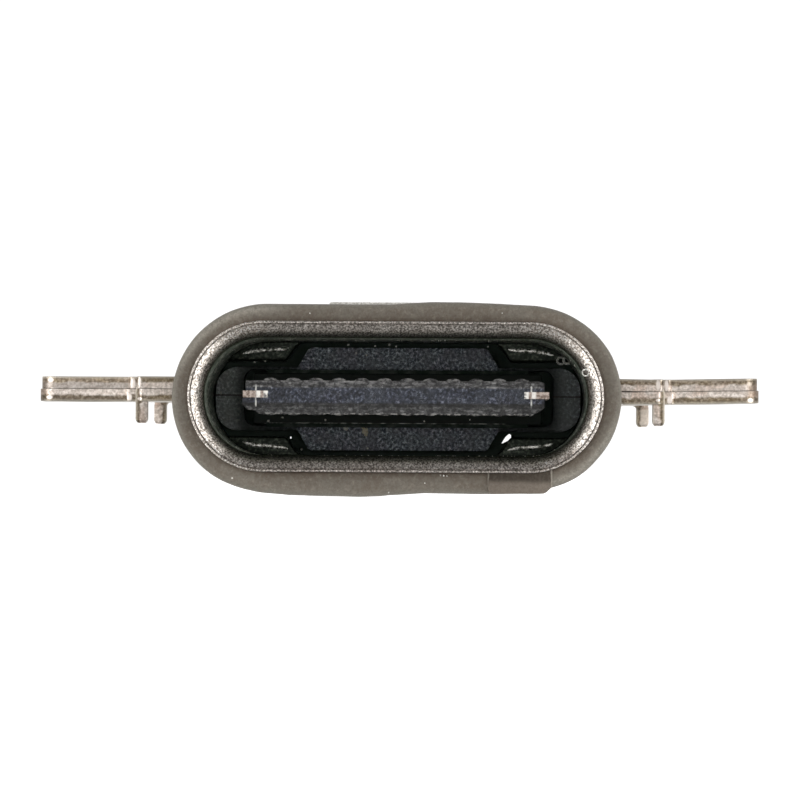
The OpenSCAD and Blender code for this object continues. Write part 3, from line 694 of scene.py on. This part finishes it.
def wall():
    base = wall_profile()

    def at(i, st):
        bx, bz, nx, nz = st
        out = []
        for r, y, g, dark, within in base:
            p = (bx + nx * r, y, bz + nz * r)
            d = g * (0.0042 * rough(p, 13.0, 3.1) + 0.0026 * rough(p, 27.0, 8.7))
            out.append((r - d if r < 1.6 else r + min(d, 0.0), max(0.0, y - (d if y < 0.4 else 0.0))))
        return out

    part = sweep(track(SPINE, 190, 160), at)
    turns = len(part[0]) // len(base)
    return part, {"groove": [float(row[3]) for row in base] * turns, "within": [float(row[4]) for row in base] * turns}


def corner_stop(sx, sz):
    """One of the four rear stops, with its curved inner edge."""
    edge = []
    for i in range(7):
        t = i / 6
        edge.append((2.58 - 0.34 * t, 0.84 + 0.37 * t * t * (3 - 2 * t)))
    loop = [(2.60, 0.85)] + [(3.874, 0.85)] + arc(2.89, 0, 1.30, 40.8, 90, 14) + [(2.228, 1.30)] + edge[::-1]
    loop = tidy([(x * sx, z * sz) for x, z in loop], 0.01)
    return placed(plate(loop, [], 6.05, 6.85, 0.05, 3), lambda u, v, w: (u, w, v))


def bead(points, radius, n=8, flat=1.0):
    """A tapered bead along points (x, y, z), round or flattened."""
    verts, faces = [], []
    m = len(points)
    for i, p in enumerate(points):
        t = Vector(points[min(i + 1, m - 1)]) - Vector(points[max(i - 1, 0)])
        t.normalize()
        side = t.cross(Vector((0, 1, 0))).normalized()
        up = side.cross(t).normalized()
        r = radius * math.sqrt(max(0.02, 1 - (2 * i / (m - 1) - 1) ** 4))
        for k in range(n):
            a = 2 * math.pi * k / n
            q = Vector(p) + (side * math.cos(a) + up * math.sin(a) * flat) * r
            verts.append(tuple(q))
    for i in range(m - 1):
        for k in range(n):
            a, b = i * n + k, i * n + (k + 1) % n
            faces.append((a, b, b + n, a + n))
    faces.append(tuple(range(n)))
    faces.append(tuple(range((m - 1) * n, m * n))[::-1])
    return verts, faces


RIDGE = {
    1: [(2.47, 1.143), (2.56, 1.116), (2.70, 1.110), (2.80, 1.109), (3.00, 1.101), (3.15, 1.083), (3.30, 1.058), (3.50, 1.010)],
    -1: [(2.47, 1.135), (2.56, 1.108), (2.70, 1.088), (2.92, 1.070), (3.11, 1.058), (3.30, 1.040), (3.50, 0.980)],
}


def stop_beads():
    """The pressed ridge on each stop that catches the light."""
    out = []
    for sx in (-1, 1):
        for sz in (-1, 1):
            pts = []
            for i in range(19):
                x = 2.47 + 1.03 * i / 18
                z = interp(RIDGE[sz], x)
                pts.append((sx * x, 6.035 - 0.012 * rough((x, sx, sz), 6), sz * (z + 0.006 * rough((x, sx * 2, sz), 5))))
            out.append(bead(pts, 0.050, 10, 0.20))
    return out


wall_part, wall_attr = wall()
piece("shell_wall", wall_part, STEEL, ["shell"], attributes=wall_attr)
piece("shell_stops", merged(*[corner_stop(sx, sz) for sx in (-1, 1) for sz in (-1, 1)]), STOP)
piece("shell_stop_beads", merged(*stop_beads()), BEAD)

# ---------------------------------------------------------------- seal
SEAL_SPINE, SEAL_R, SEAL_Z = 2.825, 2.12, -0.06
# How far the moulded outline strays from its nominal track, along its length.
SEAL_WAVE = [
    (0.0, -0.021), (2.725, -0.021), (3.575, 0.038), (4.225, 0.038), (5.095, 0.007), (5.755, -0.027), (6.20, -0.020),
    (6.674, -0.004), (7.206, 0.008), (7.914, 0.019), (8.98, -0.011), (10.439, -0.088), (11.034, -0.10), (11.53, -0.125),
    (11.74, -0.136), (11.83, -0.082), (11.98, -0.073), (12.425, -0.089), (13.295, -0.073), (14.505, -0.084), (15.275, -0.040),
    (15.485, -0.014), (15.925, 0.0), (17.465, -0.027), (17.9, -0.068), (18.337, -0.097), (18.796, -0.090), (19.30, -0.066),
    (21.29, -0.024), (24.62, -0.021),
]


def seal():
    n_s, n_a = 150, 130
    stations = track(SEAL_SPINE, n_s, n_a, SEAL_Z)
    straight, turn = 2 * SEAL_SPINE, math.pi * SEAL_R

    def along(i):
        if i < n_s:
            return straight * i / n_s
        if i < n_s + n_a:
            return straight + turn * (i - n_s) / n_a
        if i < 2 * n_s + n_a:
            return straight + turn + straight * (i - n_s - n_a) / n_s
        return 2 * straight + turn + turn * (i - 2 * n_s - n_a) / n_a

    def reach(st):
        """Where the shell's outer wall lies along this station's normal."""
        bx, bz, nx, nz = st
        lo, hi = 1.0, 2.4
        for _ in range(26):
            mid = (lo + hi) / 2
            x, z = bx + nx * mid, bz + nz * mid
            inside = math.hypot(max(0.0, abs(x) - SPINE), z) < R_OUT - 0.004
            lo, hi = (mid, hi) if inside else (lo, mid)
        return lo

    def at(i, st):
        rim = SEAL_R + interp(SEAL_WAVE, along(i))
        root = reach(st)
        thick = rim - root
        loop = [(root, 1.60), (root, 1.46)]
        # front face: a soft crown, then round to the front rib
        for t, y in ((0.05, 1.392), (0.15, 1.366), (0.30, 1.353), (0.46, 1.350), (0.62, 1.354), (0.75, 1.367), (0.85, 1.393), (0.92, 1.432), (0.965, 1.485), (0.99, 1.55), (1.0, 1.63)):
            loop.append((root + thick * t, y))
        loop += [(rim, 1.76), (rim - 0.012, 1.83), (rim - 0.05, 1.875), (rim - 0.10, 1.905), (rim - 0.115, 1.96), (rim - 0.115, 2.05), (rim - 0.10, 2.10)]
        loop += [(rim - 0.05, 2.13), (rim - 0.012, 2.17), (rim, 2.24), (rim, 2.42), (rim - 0.012, 2.49), (rim - 0.05, 2.54), (rim - 0.10, 2.59), (rim - 0.15, 2.635), (rim - 0.20, 2.65)]
        loop += [(root + 0.03, 2.65), (root, 2.62), (root, 2.3), (root, 1.9)]
        bx, bz, nx, nz = st
        out = []
        for r, y in loop:
            p = (bx + nx * r, y, bz + nz * r)
            d = 0.006 * rough(p, 1.7, 2.0) + 0.0016 * rough(p, 9.0, 5.0)
            out.append((r + (d if r > root + 0.02 else 0.0), y + d * 0.6))
        return out

    across = []

    def kept(i, st):
        out = at(i, st)
        root, rim = reach(st), SEAL_R + interp(SEAL_WAVE, along(i))
        across.extend(max(0.0, min(1.0, (r - root) / (rim - root))) for r, y in out)
        return out

    return sweep(stations, kept), {"across": across}


def seal_patch():
    """The moulded block at the lower right, a little proud of the ring's front."""
    pts = []
    x0, x1 = 2.01, 3.43
    top = [(x0 + (x1 - x0) * i / 14) for i in range(15)]
    upper = [(x, -math.sqrt(max(0, 1.640**2 - max(0, x - SPINE) ** 2))) for x in top]
    lower = [(3.43, -1.93), (3.37, -1.99), (3.30, -2.055), (3.24, -2.086), (3.15, -2.092), (2.71, -2.094), (2.2, -2.103), (2.08, -2.098), (2.03, -2.05), (2.01, -1.95)]
    pts = tidy(upper + lower, 0.01)
    return placed(plate(pts, [], 1.305, 1.62, 0.03, 3), lambda u, v, w: (u, w, v))


seal_part, seal_attr = seal()
piece("seal_ring_body", seal_part, RUBBER, ["seal_ring"], angle=50, attributes=seal_attr)
piece("seal_ring_patch", seal_patch(), PATCH, angle=40)

# ---------------------------------------------------------------- brackets
SEAM = 0.18
INNER = 0.08  # inner radius of the folded legs
# the brackets sit a little to the right of the shell
SHIFT = [(-5.3, 0.057), (-4.9, 0.0), (4.9, 0.0), (5.3, 0.085), (5.9, 0.085), (6.5, 0.055), (8.0, 0.040)]


class Fold:
    """The way along a bracket's sheet at mid thickness, from the middle out to an ear's
    tip, with the wrap taken as going upwards. z_ear is the ear's height in that sense."""

    def __init__(self, z_ear, thick):
        self.t = thick
        self.r = R_OUT + 0.003 + thick / 2
        self.fold = 0.20 + thick / 2
        self.z_ear = z_ear
        self.zc = z_ear + self.fold
        far = self.r + self.fold
        self.xc = SPINE + math.sqrt(far * far - self.zc * self.zc)
        self.end = math.asin(self.zc / far)  # angle at which the wrap meets the fold
        self.s1 = SPINE
        self.s2 = self.s1 + self.r * (math.pi / 2 - self.end)
        self.s3 = self.s2 + self.fold * (math.pi / 2 - self.end)

    def s_of_x(self, x):
        return self.s3 + x - self.xc

    def at(self, s, mode="ear"):
        """Point (x, z) and the normal of the outer face."""
        if s <= self.s1:
            return s, self.r, 0.0, 1.0
        if s <= self.s2 or mode == "clasp":
            a = math.pi / 2 - (s - self.s1) / self.r
            return SPINE + self.r * math.cos(a), self.r * math.sin(a), math.cos(a), math.sin(a)
        if s <= self.s3:
            a = math.pi + self.end + (s - self.s2) / self.fold
            return self.xc + self.fold * math.cos(a), self.zc + self.fold * math.sin(a), -math.cos(a), -math.sin(a)
        return self.xc + s - self.s3, self.z_ear, 0.0, 1.0

    def leg(self, s, start, down):
        """Along a leg that folds down (1) or up (-1) in the sheet's sense, from x = start."""
        r = INNER + self.t / 2
        d = s - self.s_of_x(start)
        bend = r * math.pi / 2
        if d <= bend:
            a = max(0.0, d) / r
            return start + r * math.sin(a), self.z_ear - down * (r - r * math.cos(a)), down * math.sin(a), math.cos(a)
        return start + r, self.z_ear - down * (r + d - bend), float(down), 0.0


def bracket(up, tip, thick):
    fold = Fold(SEAM + thick / 2 if up > 0 else thick / 2 - SEAM, thick)
    s = fold.s_of_x
    mid = SEAM + up * thick / 2  # the ear's height
    leg_x = 5.84 if up > 0 else 5.58  # outer face of the leg
    start = leg_x - thick - INNER
    run = (INNER + thick / 2) * math.pi / 2 + (mid - INNER - thick / 2) + 0.58
    end = s(start) + run
    if up > 0:
        right = [
            (s(5.80), 2.95, 0.16), (s(5.80), 3.12, 0.01), (s(start - 0.03), 3.12, 0.012), (s(start - 0.03), 3.16, 0.012), (end, 3.16, 0.07), (end, 3.59, 0.07),
            (s(start - 0.03), 3.59, 0.012), (s(start - 0.03), 3.63, 0.012), (s(6.02), 3.63, 0.20), (s(6.02), 3.85, 0.01), (s(tip), 3.85, 0.35), (s(tip), 6.25, 0.35),
            (s(5.58), 6.25, 0.10), (s(5.58), 7.30, 0.08),
        ]
    else:
        top_s = fold.s1 + fold.r * (math.pi / 2 + math.asin(0.60 / fold.r))
        low_s = fold.s1 + fold.r * (math.pi / 2 - math.asin(0.90 / fold.r))
        right = [
            (s(5.76), 2.95, 0.12), (s(5.76), 3.12, 0.03), (s(5.55), 3.12, 0.02), (s(5.55), 3.63, 0.02), (s(6.10), 3.63, 0.20),
            (s(6.10), 3.85, 0.01), (s(tip), 3.85, 0.35), (s(tip), 6.25, 0.35), (s(start - 0.03), 6.25, 0.06), (s(start - 0.03), 6.85, 0.03), (end, 6.85, 0.07), (end, 7.30, 0.07),
            (fold.s2 - 0.02, 7.30, 0.01), (fold.s2 - 0.02, 7.34, 0.01), (top_s, 7.34, 0.05), (top_s, 7.55, 0.05), (low_s, 7.55, 0.06), (low_s, 7.30, 0.06),
        ]
    left = [(-u, v, r) for u, v, r in right[::-1]]
    outer = round_corners(right + left, 8)
    ring = [-2 * math.pi * k / 48 for k in range(48)]
    holes = [[(sgn * s(6.95) + 0.65 * math.cos(a), 5.05 + 0.65 * math.sin(a)) for a in ring] for sgn in (-1, 1)]
    part = plate(outer, holes, -thick / 2, thick / 2, 0.014, 3)
    # cut across the sheet wherever it bends, so that it can follow
    me = bpy.data.meshes.new("pattern")
    me.from_pydata(part[0], [], part[1])
    bm = bmesh.new()
    bm.from_mesh(me)
    bpy.data.meshes.remove(me)
    cuts = [0.0] + [fold.s1 + (fold.s2 - fold.s1) * i / 30 for i in range(31)] + [fold.s2 + (fold.s3 - fold.s2) * i / 12 for i in range(1, 13)]
    cuts += [s(start) + (INNER + thick / 2) * math.pi / 2 * i / 8 for i in range(9)]
    cuts += [end - d for d in (0.10, 0.07, 0.045, 0.025)]
    if up < 0:
        cuts += [fold.s2 + (top_s - fold.s2) * i / 12 for i in range(1, 12)]
    for c in sorted(set(round(c, 5) for c in cuts)):
        for sgn in (-1, 1):
            if c == 0.0 and sgn < 0:
                continue
            geom = bm.verts[:] + bm.edges[:] + bm.faces[:]
            bmesh.ops.bisect_plane(bm, geom=geom, dist=1e-5, plane_co=(sgn * c, 0, 0), plane_no=(1, 0, 0))
    bm.verts.ensure_lookup_table()
    verts, through, rim = [], [], []
    for v in bm.verts:
        u, y, w = v.co
        sgn = -1 if u < 0 else 1
        beyond = abs(u) > s(start) - 0.001
        edge = w  # the legs' ends are rounded off
        near = max(0.0, (abs(u) - end + 0.10) / 0.10)
        if up > 0 and beyond and 3.14 < y < 3.61:
            x, z, nx, nz = fold.leg(abs(u), start, 1)
            w *= 1 - 0.38 * near * near
        elif up < 0 and beyond and 6.6 < y < 7.32:
            x, z, nx, nz = fold.leg(abs(u), start, -1)
            w *= 1 - 0.38 * near * near
        else:
            x, z, nx, nz = fold.at(abs(u), "clasp" if up < 0 and y > 7.32 else "ear")
        x, z = x + nx * w, z + nz * w
        z = z if up > 0 else -z
        x = sgn * x + interp(SHIFT, sgn * x)
        if x > 5.0:  # the right ear is bent up a little
            z += 0.020 * (x - 6.0)
        verts.append((x, y, z))
        through.append(max(-1.0, min(1.0, edge / (thick / 2))))
    faces = [tuple(v.index for v in f.verts) for f in bm.faces]
    for v in bm.verts:
        on_rim = any(abs(f.normal.z) < 0.5 for f in v.link_faces)
        rim.append(1.0 if on_rim and abs(v.co.z) < thick / 2 - 1e-4 else 0.0)
    bm.free()
    return (verts, faces), {"through": through, "cut": rim}


def lip():
    """The raised front edge in the middle of the upper bracket."""
    prof = round_corners([(2.65, 1.66, 0.04), (2.65, 2.108, 0.06), (2.93, 2.108, 0.11), (2.96, 1.92, 0.10), (3.10, 1.90, 0.02), (3.10, 1.66, 0.02)], 5)
    return placed(plate(prof, [], -1.50, 1.55, 0.05, 3), lambda u, v, w: (w, u, v))


up_part, up_attr = bracket(1, 7.965, 0.27)
piece("upper_bracket_sheet", up_part, SHEET, ["upper_bracket"], weighted=True, attributes=up_attr)
piece("upper_bracket_lip", lip(), LIP, weighted=True)
low_part, low_attr = bracket(-1, 8.0, 0.28)
piece("lower_bracket_sheet", low_part, SHEET, ["lower_bracket"], weighted=True, attributes=low_attr)

# ---------------------------------------------------------------- insulator
def front_box(x0, x1, z0, z1, y0, y1, chamfer=0.03, corner=0.02):
    loop = round_corners([(x0, z0, corner), (x1, z0, corner), (x1, z1, corner), (x0, z1, corner)], 3)
    return placed(plate(loop, [], y0, y1, chamfer, 3), lambda u, v, w: (u, w, v))


def tongue():
    """The tongue in plan, with the notches that a plug's springs grip."""
    half, notch = 3.17, 3.07
    loop = round_corners([
        (-half, 1.30, 0.05), (half, 1.30, 0.05), (half, 2.60, 0.02), (notch, 2.64, 0.05), (notch, 3.66, 0.05), (half, 3.70, 0.02), (half, 6.2, 0.0),
        (-half, 6.2, 0.0), (-half, 3.70, 0.02), (-notch, 3.66, 0.05), (-notch, 2.64, 0.05), (-half, 2.60, 0.02),
    ], 5)
    under = round_corners([(-2.93, 1.31, 0.04), (2.93, 1.31, 0.04), (2.93, 6.2, 0.0), (-2.93, 6.2, 0.0)], 4)
    return merged(plate(loop, [], -0.30, 0.34, 0.02, 2), plate(under, [], -0.34, -0.28, 0.015, 2))


def nose():
    """The tongue's front end: worn corners below, and a ragged lower edge."""
    top = [(-3.29, 0.340), (-3.265, 0.352), (-3.04, 0.355)]
    x = -2.97
    while x < 2.96:
        top.append((x, 0.360 + 0.006 * rough((x, 0, 0), 5, 1.0) + 0.004 * rough((x, 0, 3), 19, 1.0)))
        x += 0.04
    top += [(3.06, 0.366), (3.16, 0.352), (3.215, 0.343), (3.25, 0.300)]
    low = [(3.25, -0.19), (3.235, -0.226), (3.185, -0.262), (3.10, -0.322), (3.02, -0.362), (2.95, -0.402)]
    x = 2.90
    while x > -2.86:
        low.append((x, -0.382 - 0.016 * rough((x, 1, 0), 7, 4.0) - 0.017 * rough((x, 2, 0), 17, 6.0)))
        x -= 0.03
    low += [(-2.90, -0.392), (-3.00, -0.370), (-3.04, -0.350), (-3.07, -0.302), (-3.17, -0.300), (-3.24, -0.288), (-3.31, -0.225), (-3.365, -0.178), (-3.368, -0.045), (-3.34, -0.03), (-3.29, -0.028), (-3.29, 0.12)]
    return placed(plate(tidy(top + low, 0.008), [], 1.014, 1.44, 0.024, 3), lambda u, v, w: (u, w, v))


def contact_tips():
    """The rounded ends of the contact rows, just behind the front of the tongue."""
    out = []
    for side in (1, -1):
        for i in range(12):
            x0 = (i - 5.5) * 0.5 + 0.01 * rough((i, side, 0), 0.7, 9.0)
            high = (0.418 if side > 0 else 0.400) + 0.007 * rough((i, side, 1), 0.9, 3.0)
            half = 0.172 + 0.010 * rough((i, side, 2), 0.8, 5.0)
            section = [(x0 - half, 0.30)]
            for k in range(11):
                t = -1 + 2 * k / 10
                section.append((x0 + half * t, 0.345 + (high - 0.345) * (1 - t * t) ** 0.6 + 0.004 * rough((x0 + t, side, 0), 8)))
            section.append((x0 + half, 0.30))
            loop = tidy([(x, side * z) for x, z in section], 0.003)
            out.append(placed(plate(loop, [], 1.09, 1.43, 0.018, 2), lambda u, v, w: (u, w, v)))
    return out


def base_face():
    right = [(2.261, 0.72, 0.01), (4.11, 0.72, 0.50), (4.11, -0.72, 0.50), (2.261, -0.72, 0.01), (2.03, -1.12, 0.05), (1.95, -1.16, 0.03)]
    left = [(-x, z, r) for x, z, r in right[::-1]]
    loop = round_corners([(1.95, 1.16, 0.03), (2.03, 1.12, 0.05)] + right + left + [(-2.03, 1.12, 0.05), (-1.95, 1.16, 0.03)], 8)
    recess = round_corners([(3.49, 0.655, 0.22), (-3.46, 0.655, 0.22), (-3.46, -0.60, 0.22), (3.49, -0.60, 0.22)], 6)
    return placed(plate(loop, [recess], 6.20, 6.95, 0.025, 2), lambda u, v, w: (u, w, v))


def rear_block():
    """Closes the shell behind; two gaps at its lower corners let light through."""
    n = 28
    loop = arc(SPINE, 0, R_IN, 90, -90, n) + arc(-SPINE, 0, R_IN, 270, 90, n)
    gaps = [
        round_corners([(2.330, -0.992, 0.008), (2.429, -0.832, 0.04), (2.519, -0.755, 0.02), (2.563, -0.785, 0.02), (2.556, -0.877, 0.02), (2.440, -0.938, 0.03)], 3),
        round_corners([(-2.414, -0.897, 0.015), (-2.470, -0.897, 0.015), (-2.470, -0.848, 0.015), (-2.414, -0.848, 0.015)], 3),
    ]
    return placed(plate(tidy(loop, 0.01), gaps, 6.85, 8.10, 0.05, 2), lambda u, v, w: (u, w, v))


root = front_box(-3.22, 3.22, -0.575, 0.56, 4.85, 6.97, 0.03, 0.04)
piece("insulator_body", merged(tongue(), nose(), *contact_tips(), root, base_face(), rear_block()), PLASTIC, ["insulator"], angle=34, weighted=True)

# ---------------------------------------------------------------- dirt
def crumb(x, y, z, r, seed, sx=1.0, sz=1.0):
    """An irregular grain of dust."""
    verts, faces = [], []
    for j in range(1, 5):
        for k in range(8):
            a, b = math.pi * j / 5, 2 * math.pi * k / 8
            d = r * (1 + 0.45 * rough((math.sin(a) * math.cos(b) * 1.3, math.cos(a) * 1.3, math.sin(a) * math.sin(b) * 1.3), 1.0, seed))
            verts.append((x + d * sx * math.sin(a) * math.cos(b), y - 0.6 * d * math.cos(a), z + d * sz * math.sin(a) * math.sin(b)))
    for j in range(3):
        for k in range(8):
            faces.append((j * 8 + k, j * 8 + (k + 1) % 8, (j + 1) * 8 + (k + 1) % 8, (j + 1) * 8 + k))
    faces.append(tuple(range(8))[::-1])
    faces.append(tuple(range(24, 32)))
    return verts, faces


def ring(x, y, z, r, tube, seed):
    """The dried edge of a drop."""
    pts = []
    for k in range(25):
        a = 2 * math.pi * k / 24
        d = r * (1 + 0.18 * rough((math.cos(a), math.sin(a), seed), 1.4, seed))
        pts.append((x + d * math.cos(a), y, z + d * math.sin(a)))
    return bead(pts, tube, 6)


def ring_on_lip(x, z, r, tube, seed):
    """A dried drop's edge lying on the rolled-in edge."""
    pts = []
    for k in range(25):
        a = 2 * math.pi * k / 24
        d = r * (1 + 0.15 * rough((math.cos(a), math.sin(a), seed), 1.4, seed))
        px, pz = x + d * math.cos(a), z + d * math.sin(a)
        dip = max(0.0, min(1.0, (1.745 - math.hypot(abs(px) - SPINE, pz)) / 0.465))
        pts.append((px, 0.016 + 0.465 * (math.cos(math.radians(24)) - math.sqrt(1 - dip * dip)) - 0.004, pz))
    return bead(pts, tube, 6)


def flake(x, y, z, w, h, seed, n=9):
    """A clump of grains."""
    out = []
    for k in range(n):
        u, v = rough((k * 1.7, seed, 0), 1.0, 2.5), rough((seed, k * 2.3, 1), 1.0, 7.5)
        out.append(crumb(x + u * w, y - 0.01 * (k % 3), z + v * h, 0.030 + 0.012 * (k % 2), seed + k))
    return out


specks = [
    (-3.99, 6.17, 0.12, 0.030), (-3.235, 6.02, 0.82, 0.024), (-3.00, 6.02, 0.84, 0.022), (-1.13, 6.17, 1.22, 0.026), (-0.95, 6.17, 1.04, 0.020),
    (-0.72, 6.17, 0.99, 0.022), (-0.52, 6.17, 1.20, 0.024), (-0.20, 6.17, 1.23, 0.030), (-0.05, 6.17, 1.19, 0.024), (2.02, 6.17, 1.20, 0.022),
    (-2.17, 6.17, -1.14, 0.026), (-0.68, 6.17, -1.11, 0.024), (-4.10, 3.2, -0.46, 0.024), (-2.60, 6.17, -0.50, 0.018),
    (-2.885, 4.84, -0.51, 0.027), (-2.57, 4.84, -0.43, 0.024), (-1.61, 4.84, -0.48, 0.024), (0.60, 4.84, -0.50, 0.018), (1.62, 4.84, -0.46, 0.018),
]
dirt = [crumb(x, y, z, r, 3.1 * i) for i, (x, y, z, r) in enumerate(specks)]
for i in range(150):  # bright rubbed grains along the walls
    t = 0.5 + 0.5 * rough((i * 3.7, 1.0, 0.0), 1.0, 11.0)
    st = track(SPINE, 120, 90)[int(abs(rough((i * 5.3, 0.3, 2.0), 1.0, 4.0)) * 2.2 * 420) % 420]
    r = R_IN - 0.004
    dirt.append(crumb(st[0] + st[2] * r, 1.4 + 3.4 * t, st[1] + st[3] * r, 0.009 + 0.012 * abs(rough((i * 2.9, 4.0, 0.0), 1.0, 8.0)), 1.7 * i))
for x, z, r in ((-3.58, -1.785, 0.018), (-0.15, -2.08, 0.018), (0.98, -1.700, 0.016), (1.05, -1.705, 0.020), (1.12, -1.712, 0.014), (0.64, -1.87, 0.016), (2.31, 1.86, 0.014), (-1.9, 1.83, 0.014)):
    dirt.append(crumb(x, 1.345, z, r, 9.0 + x))
dirt += flake(-1.18, 6.18, -0.655, 0.10, 0.04, 5.0, 6)
PALE = dust("pale_dust", (0.45, 0.45, 0.42), (1.0, 0.99, 0.95))
TAN = dust("tan_dust", (0.78, 0.71, 0.53), (1.0, 0.95, 0.80))
piece("dirt_specks", merged(*dirt), PALE)
piece("dirt_fleck", merged(*flake(-0.735, 6.18, -0.71, 0.11, 0.16, 2.0, 16)), TAN)
piece("dirt_rings", merged(ring(3.655, 6.03, 0.885, 0.080, 0.024, 1.0), ring(3.80, 6.03, 0.895, 0.078, 0.028, 3.0), ring_on_lip(4.127, 0.555, 0.070, 0.017, 5.0)), PALE)

# ---------------------------------------------------------------- carried-over CAD nodes
def soften(node, width, mat, segments=2):
    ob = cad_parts[node]
    mod = ob.modifiers.new("soft_edges", "BEVEL")
    mod.width = width * MM
    mod.segments = segments
    mod.limit_method = "ANGLE"
    mod.angle_limit = math.radians(40)
    mod.harden_normals = False
    if not ob.data.materials:
        ob.data.materials.append(mat)
    for i in range(len(ob.material_slots)):
        ob.material_slots[i].material = mat


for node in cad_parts:
    if node.startswith("contact_"):
        soften(node, 0.025, CONTACT, 3)
for node in ("upper_contact_carrier", "lower_contact_carrier"):
    soften(node, 0.012, CARRIER, 1)
for node in ("mid_plate", "upper_ground_plate", "lower_ground_plate"):
    soften(node, 0.012, PLATE, 1)


# ---------------------------------------------------------------- stage and light
def stage_plane(name, z, half):
    me = bpy.data.meshes.new(name)
    h = half * MM
    me.from_pydata([(-h, -h, z * MM), (h, -h, z * MM), (h, h, z * MM), (-h, h, z * MM)], [], [(0, 1, 2, 3)])
    ob = bpy.data.objects.new(name, me)
    bpy.context.scene.collection.objects.link(ob)
    s = Shader(name, colour=(0.55, 0.55, 0.55), roughness=0.9)
    s.bsdf.inputs["Emission Color"].default_value = (1, 1, 1, 1)
    s.bsdf.inputs["Emission Strength"].default_value = 0.92
    me.materials.append(s.mat)
    ob.visible_glossy = False
    ob.visible_diffuse = False
    ob.visible_shadow = False
    return ob


stage_plane("floor", -2.20, 420)

world = bpy.data.worlds.new("studio")
bpy.context.scene.world = world
world.use_nodes = True
wt = world.node_tree
wt.nodes.clear()
w_out = wt.nodes.new("ShaderNodeOutputWorld")
w_mix = wt.nodes.new("ShaderNodeMixShader")
w_path = wt.nodes.new("ShaderNodeLightPath")
w_white = wt.nodes.new("ShaderNodeBackground")
w_white.inputs[0].default_value = (1, 1, 1, 1)
w_white.inputs[1].default_value = 1.1
w_env = wt.nodes.new("ShaderNodeBackground")
w_dir = wt.nodes.new("ShaderNodeTexCoord")
w_xyz = wt.nodes.new("ShaderNodeSeparateXYZ")
wt.links.new(w_dir.outputs["Generated"], w_xyz.inputs[0])


def w_span(value, a, b, c, d):
    n = wt.nodes.new("ShaderNodeMapRange")
    n.interpolation_type = "SMOOTHSTEP"
    wt.links.new(value, n.inputs["Value"])
    for key, v in (("From Min", a), ("From Max", b), ("To Min", c), ("To Max", d)):
        n.inputs[key].default_value = v
    return n.outputs["Result"]


def w_math(op, a, b):
    n = wt.nodes.new("ShaderNodeMath")
    n.operation = op
    for sock, v in zip(n.inputs, (a, b)):
        if isinstance(v, bpy.types.NodeSocket):
            wt.links.new(v, sock)
        else:
            sock.default_value = v
    return n.outputs[0]


across = w_math("ABSOLUTE", w_xyz.outputs[0], 0.0)
ahead = w_math("MULTIPLY", w_xyz.outputs[1], -1.0)
level = w_math("SUBTRACT", 1.0, w_span(w_math("ABSOLUTE", w_xyz.outputs[2], 0.0), 0.45, 0.95, 0.0, 1.0))
# two tall softboxes, in front on the left and on the right
box = w_math("MULTIPLY", w_span(across, 0.52, 0.68, 0.0, 1.0), w_span(ahead, 0.10, 0.34, 0.0, 1.0))
soft = w_math("MULTIPLY", w_math("MULTIPLY", box, level), 3.1)
# a low wide strip straight in front, which reaches into the mouth
strip = w_math("MULTIPLY", w_span(w_math("ABSOLUTE", w_xyz.outputs[2], 0.0), 0.26, 0.14, 0.0, 1.0), w_span(across, 0.58, 0.36, 0.0, 1.0))
strip = w_math("MULTIPLY", w_math("MULTIPLY", strip, w_span(ahead, 0.3, 0.5, 0.0, 1.0)), 1.45)
front = w_math("ADD", w_span(ahead, 0.80, 0.93, 0.0, 0.10), strip)
back = w_span(w_xyz.outputs[1], 0.05, 0.6, 0.0, 0.75)
over = w_span(w_xyz.outputs[2], 0.1, 0.95, 0.0, 0.10)
under = w_span(w_xyz.outputs[2], -0.05, -0.75, 0.0, 0.20)
total = w_math("ADD", w_math("ADD", soft, back), w_math("ADD", w_math("ADD", over, under), w_math("ADD", front, 0.12)))
wt.links.new(total, w_env.inputs[1])
w_env.inputs[0].default_value = (1.0, 0.99, 0.97, 1)
wt.links.new(w_path.outputs["Is Camera Ray"], w_mix.inputs[0])
wt.links.new(w_env.outputs[0], w_mix.inputs[1])
wt.links.new(w_white.outputs[0], w_mix.inputs[2])
wt.links.new(w_mix.outputs[0], w_out.inputs[0])

bpy.context.scene.view_settings.view_transform = "Standard"
bpy.context.scene.view_settings.look = "None"
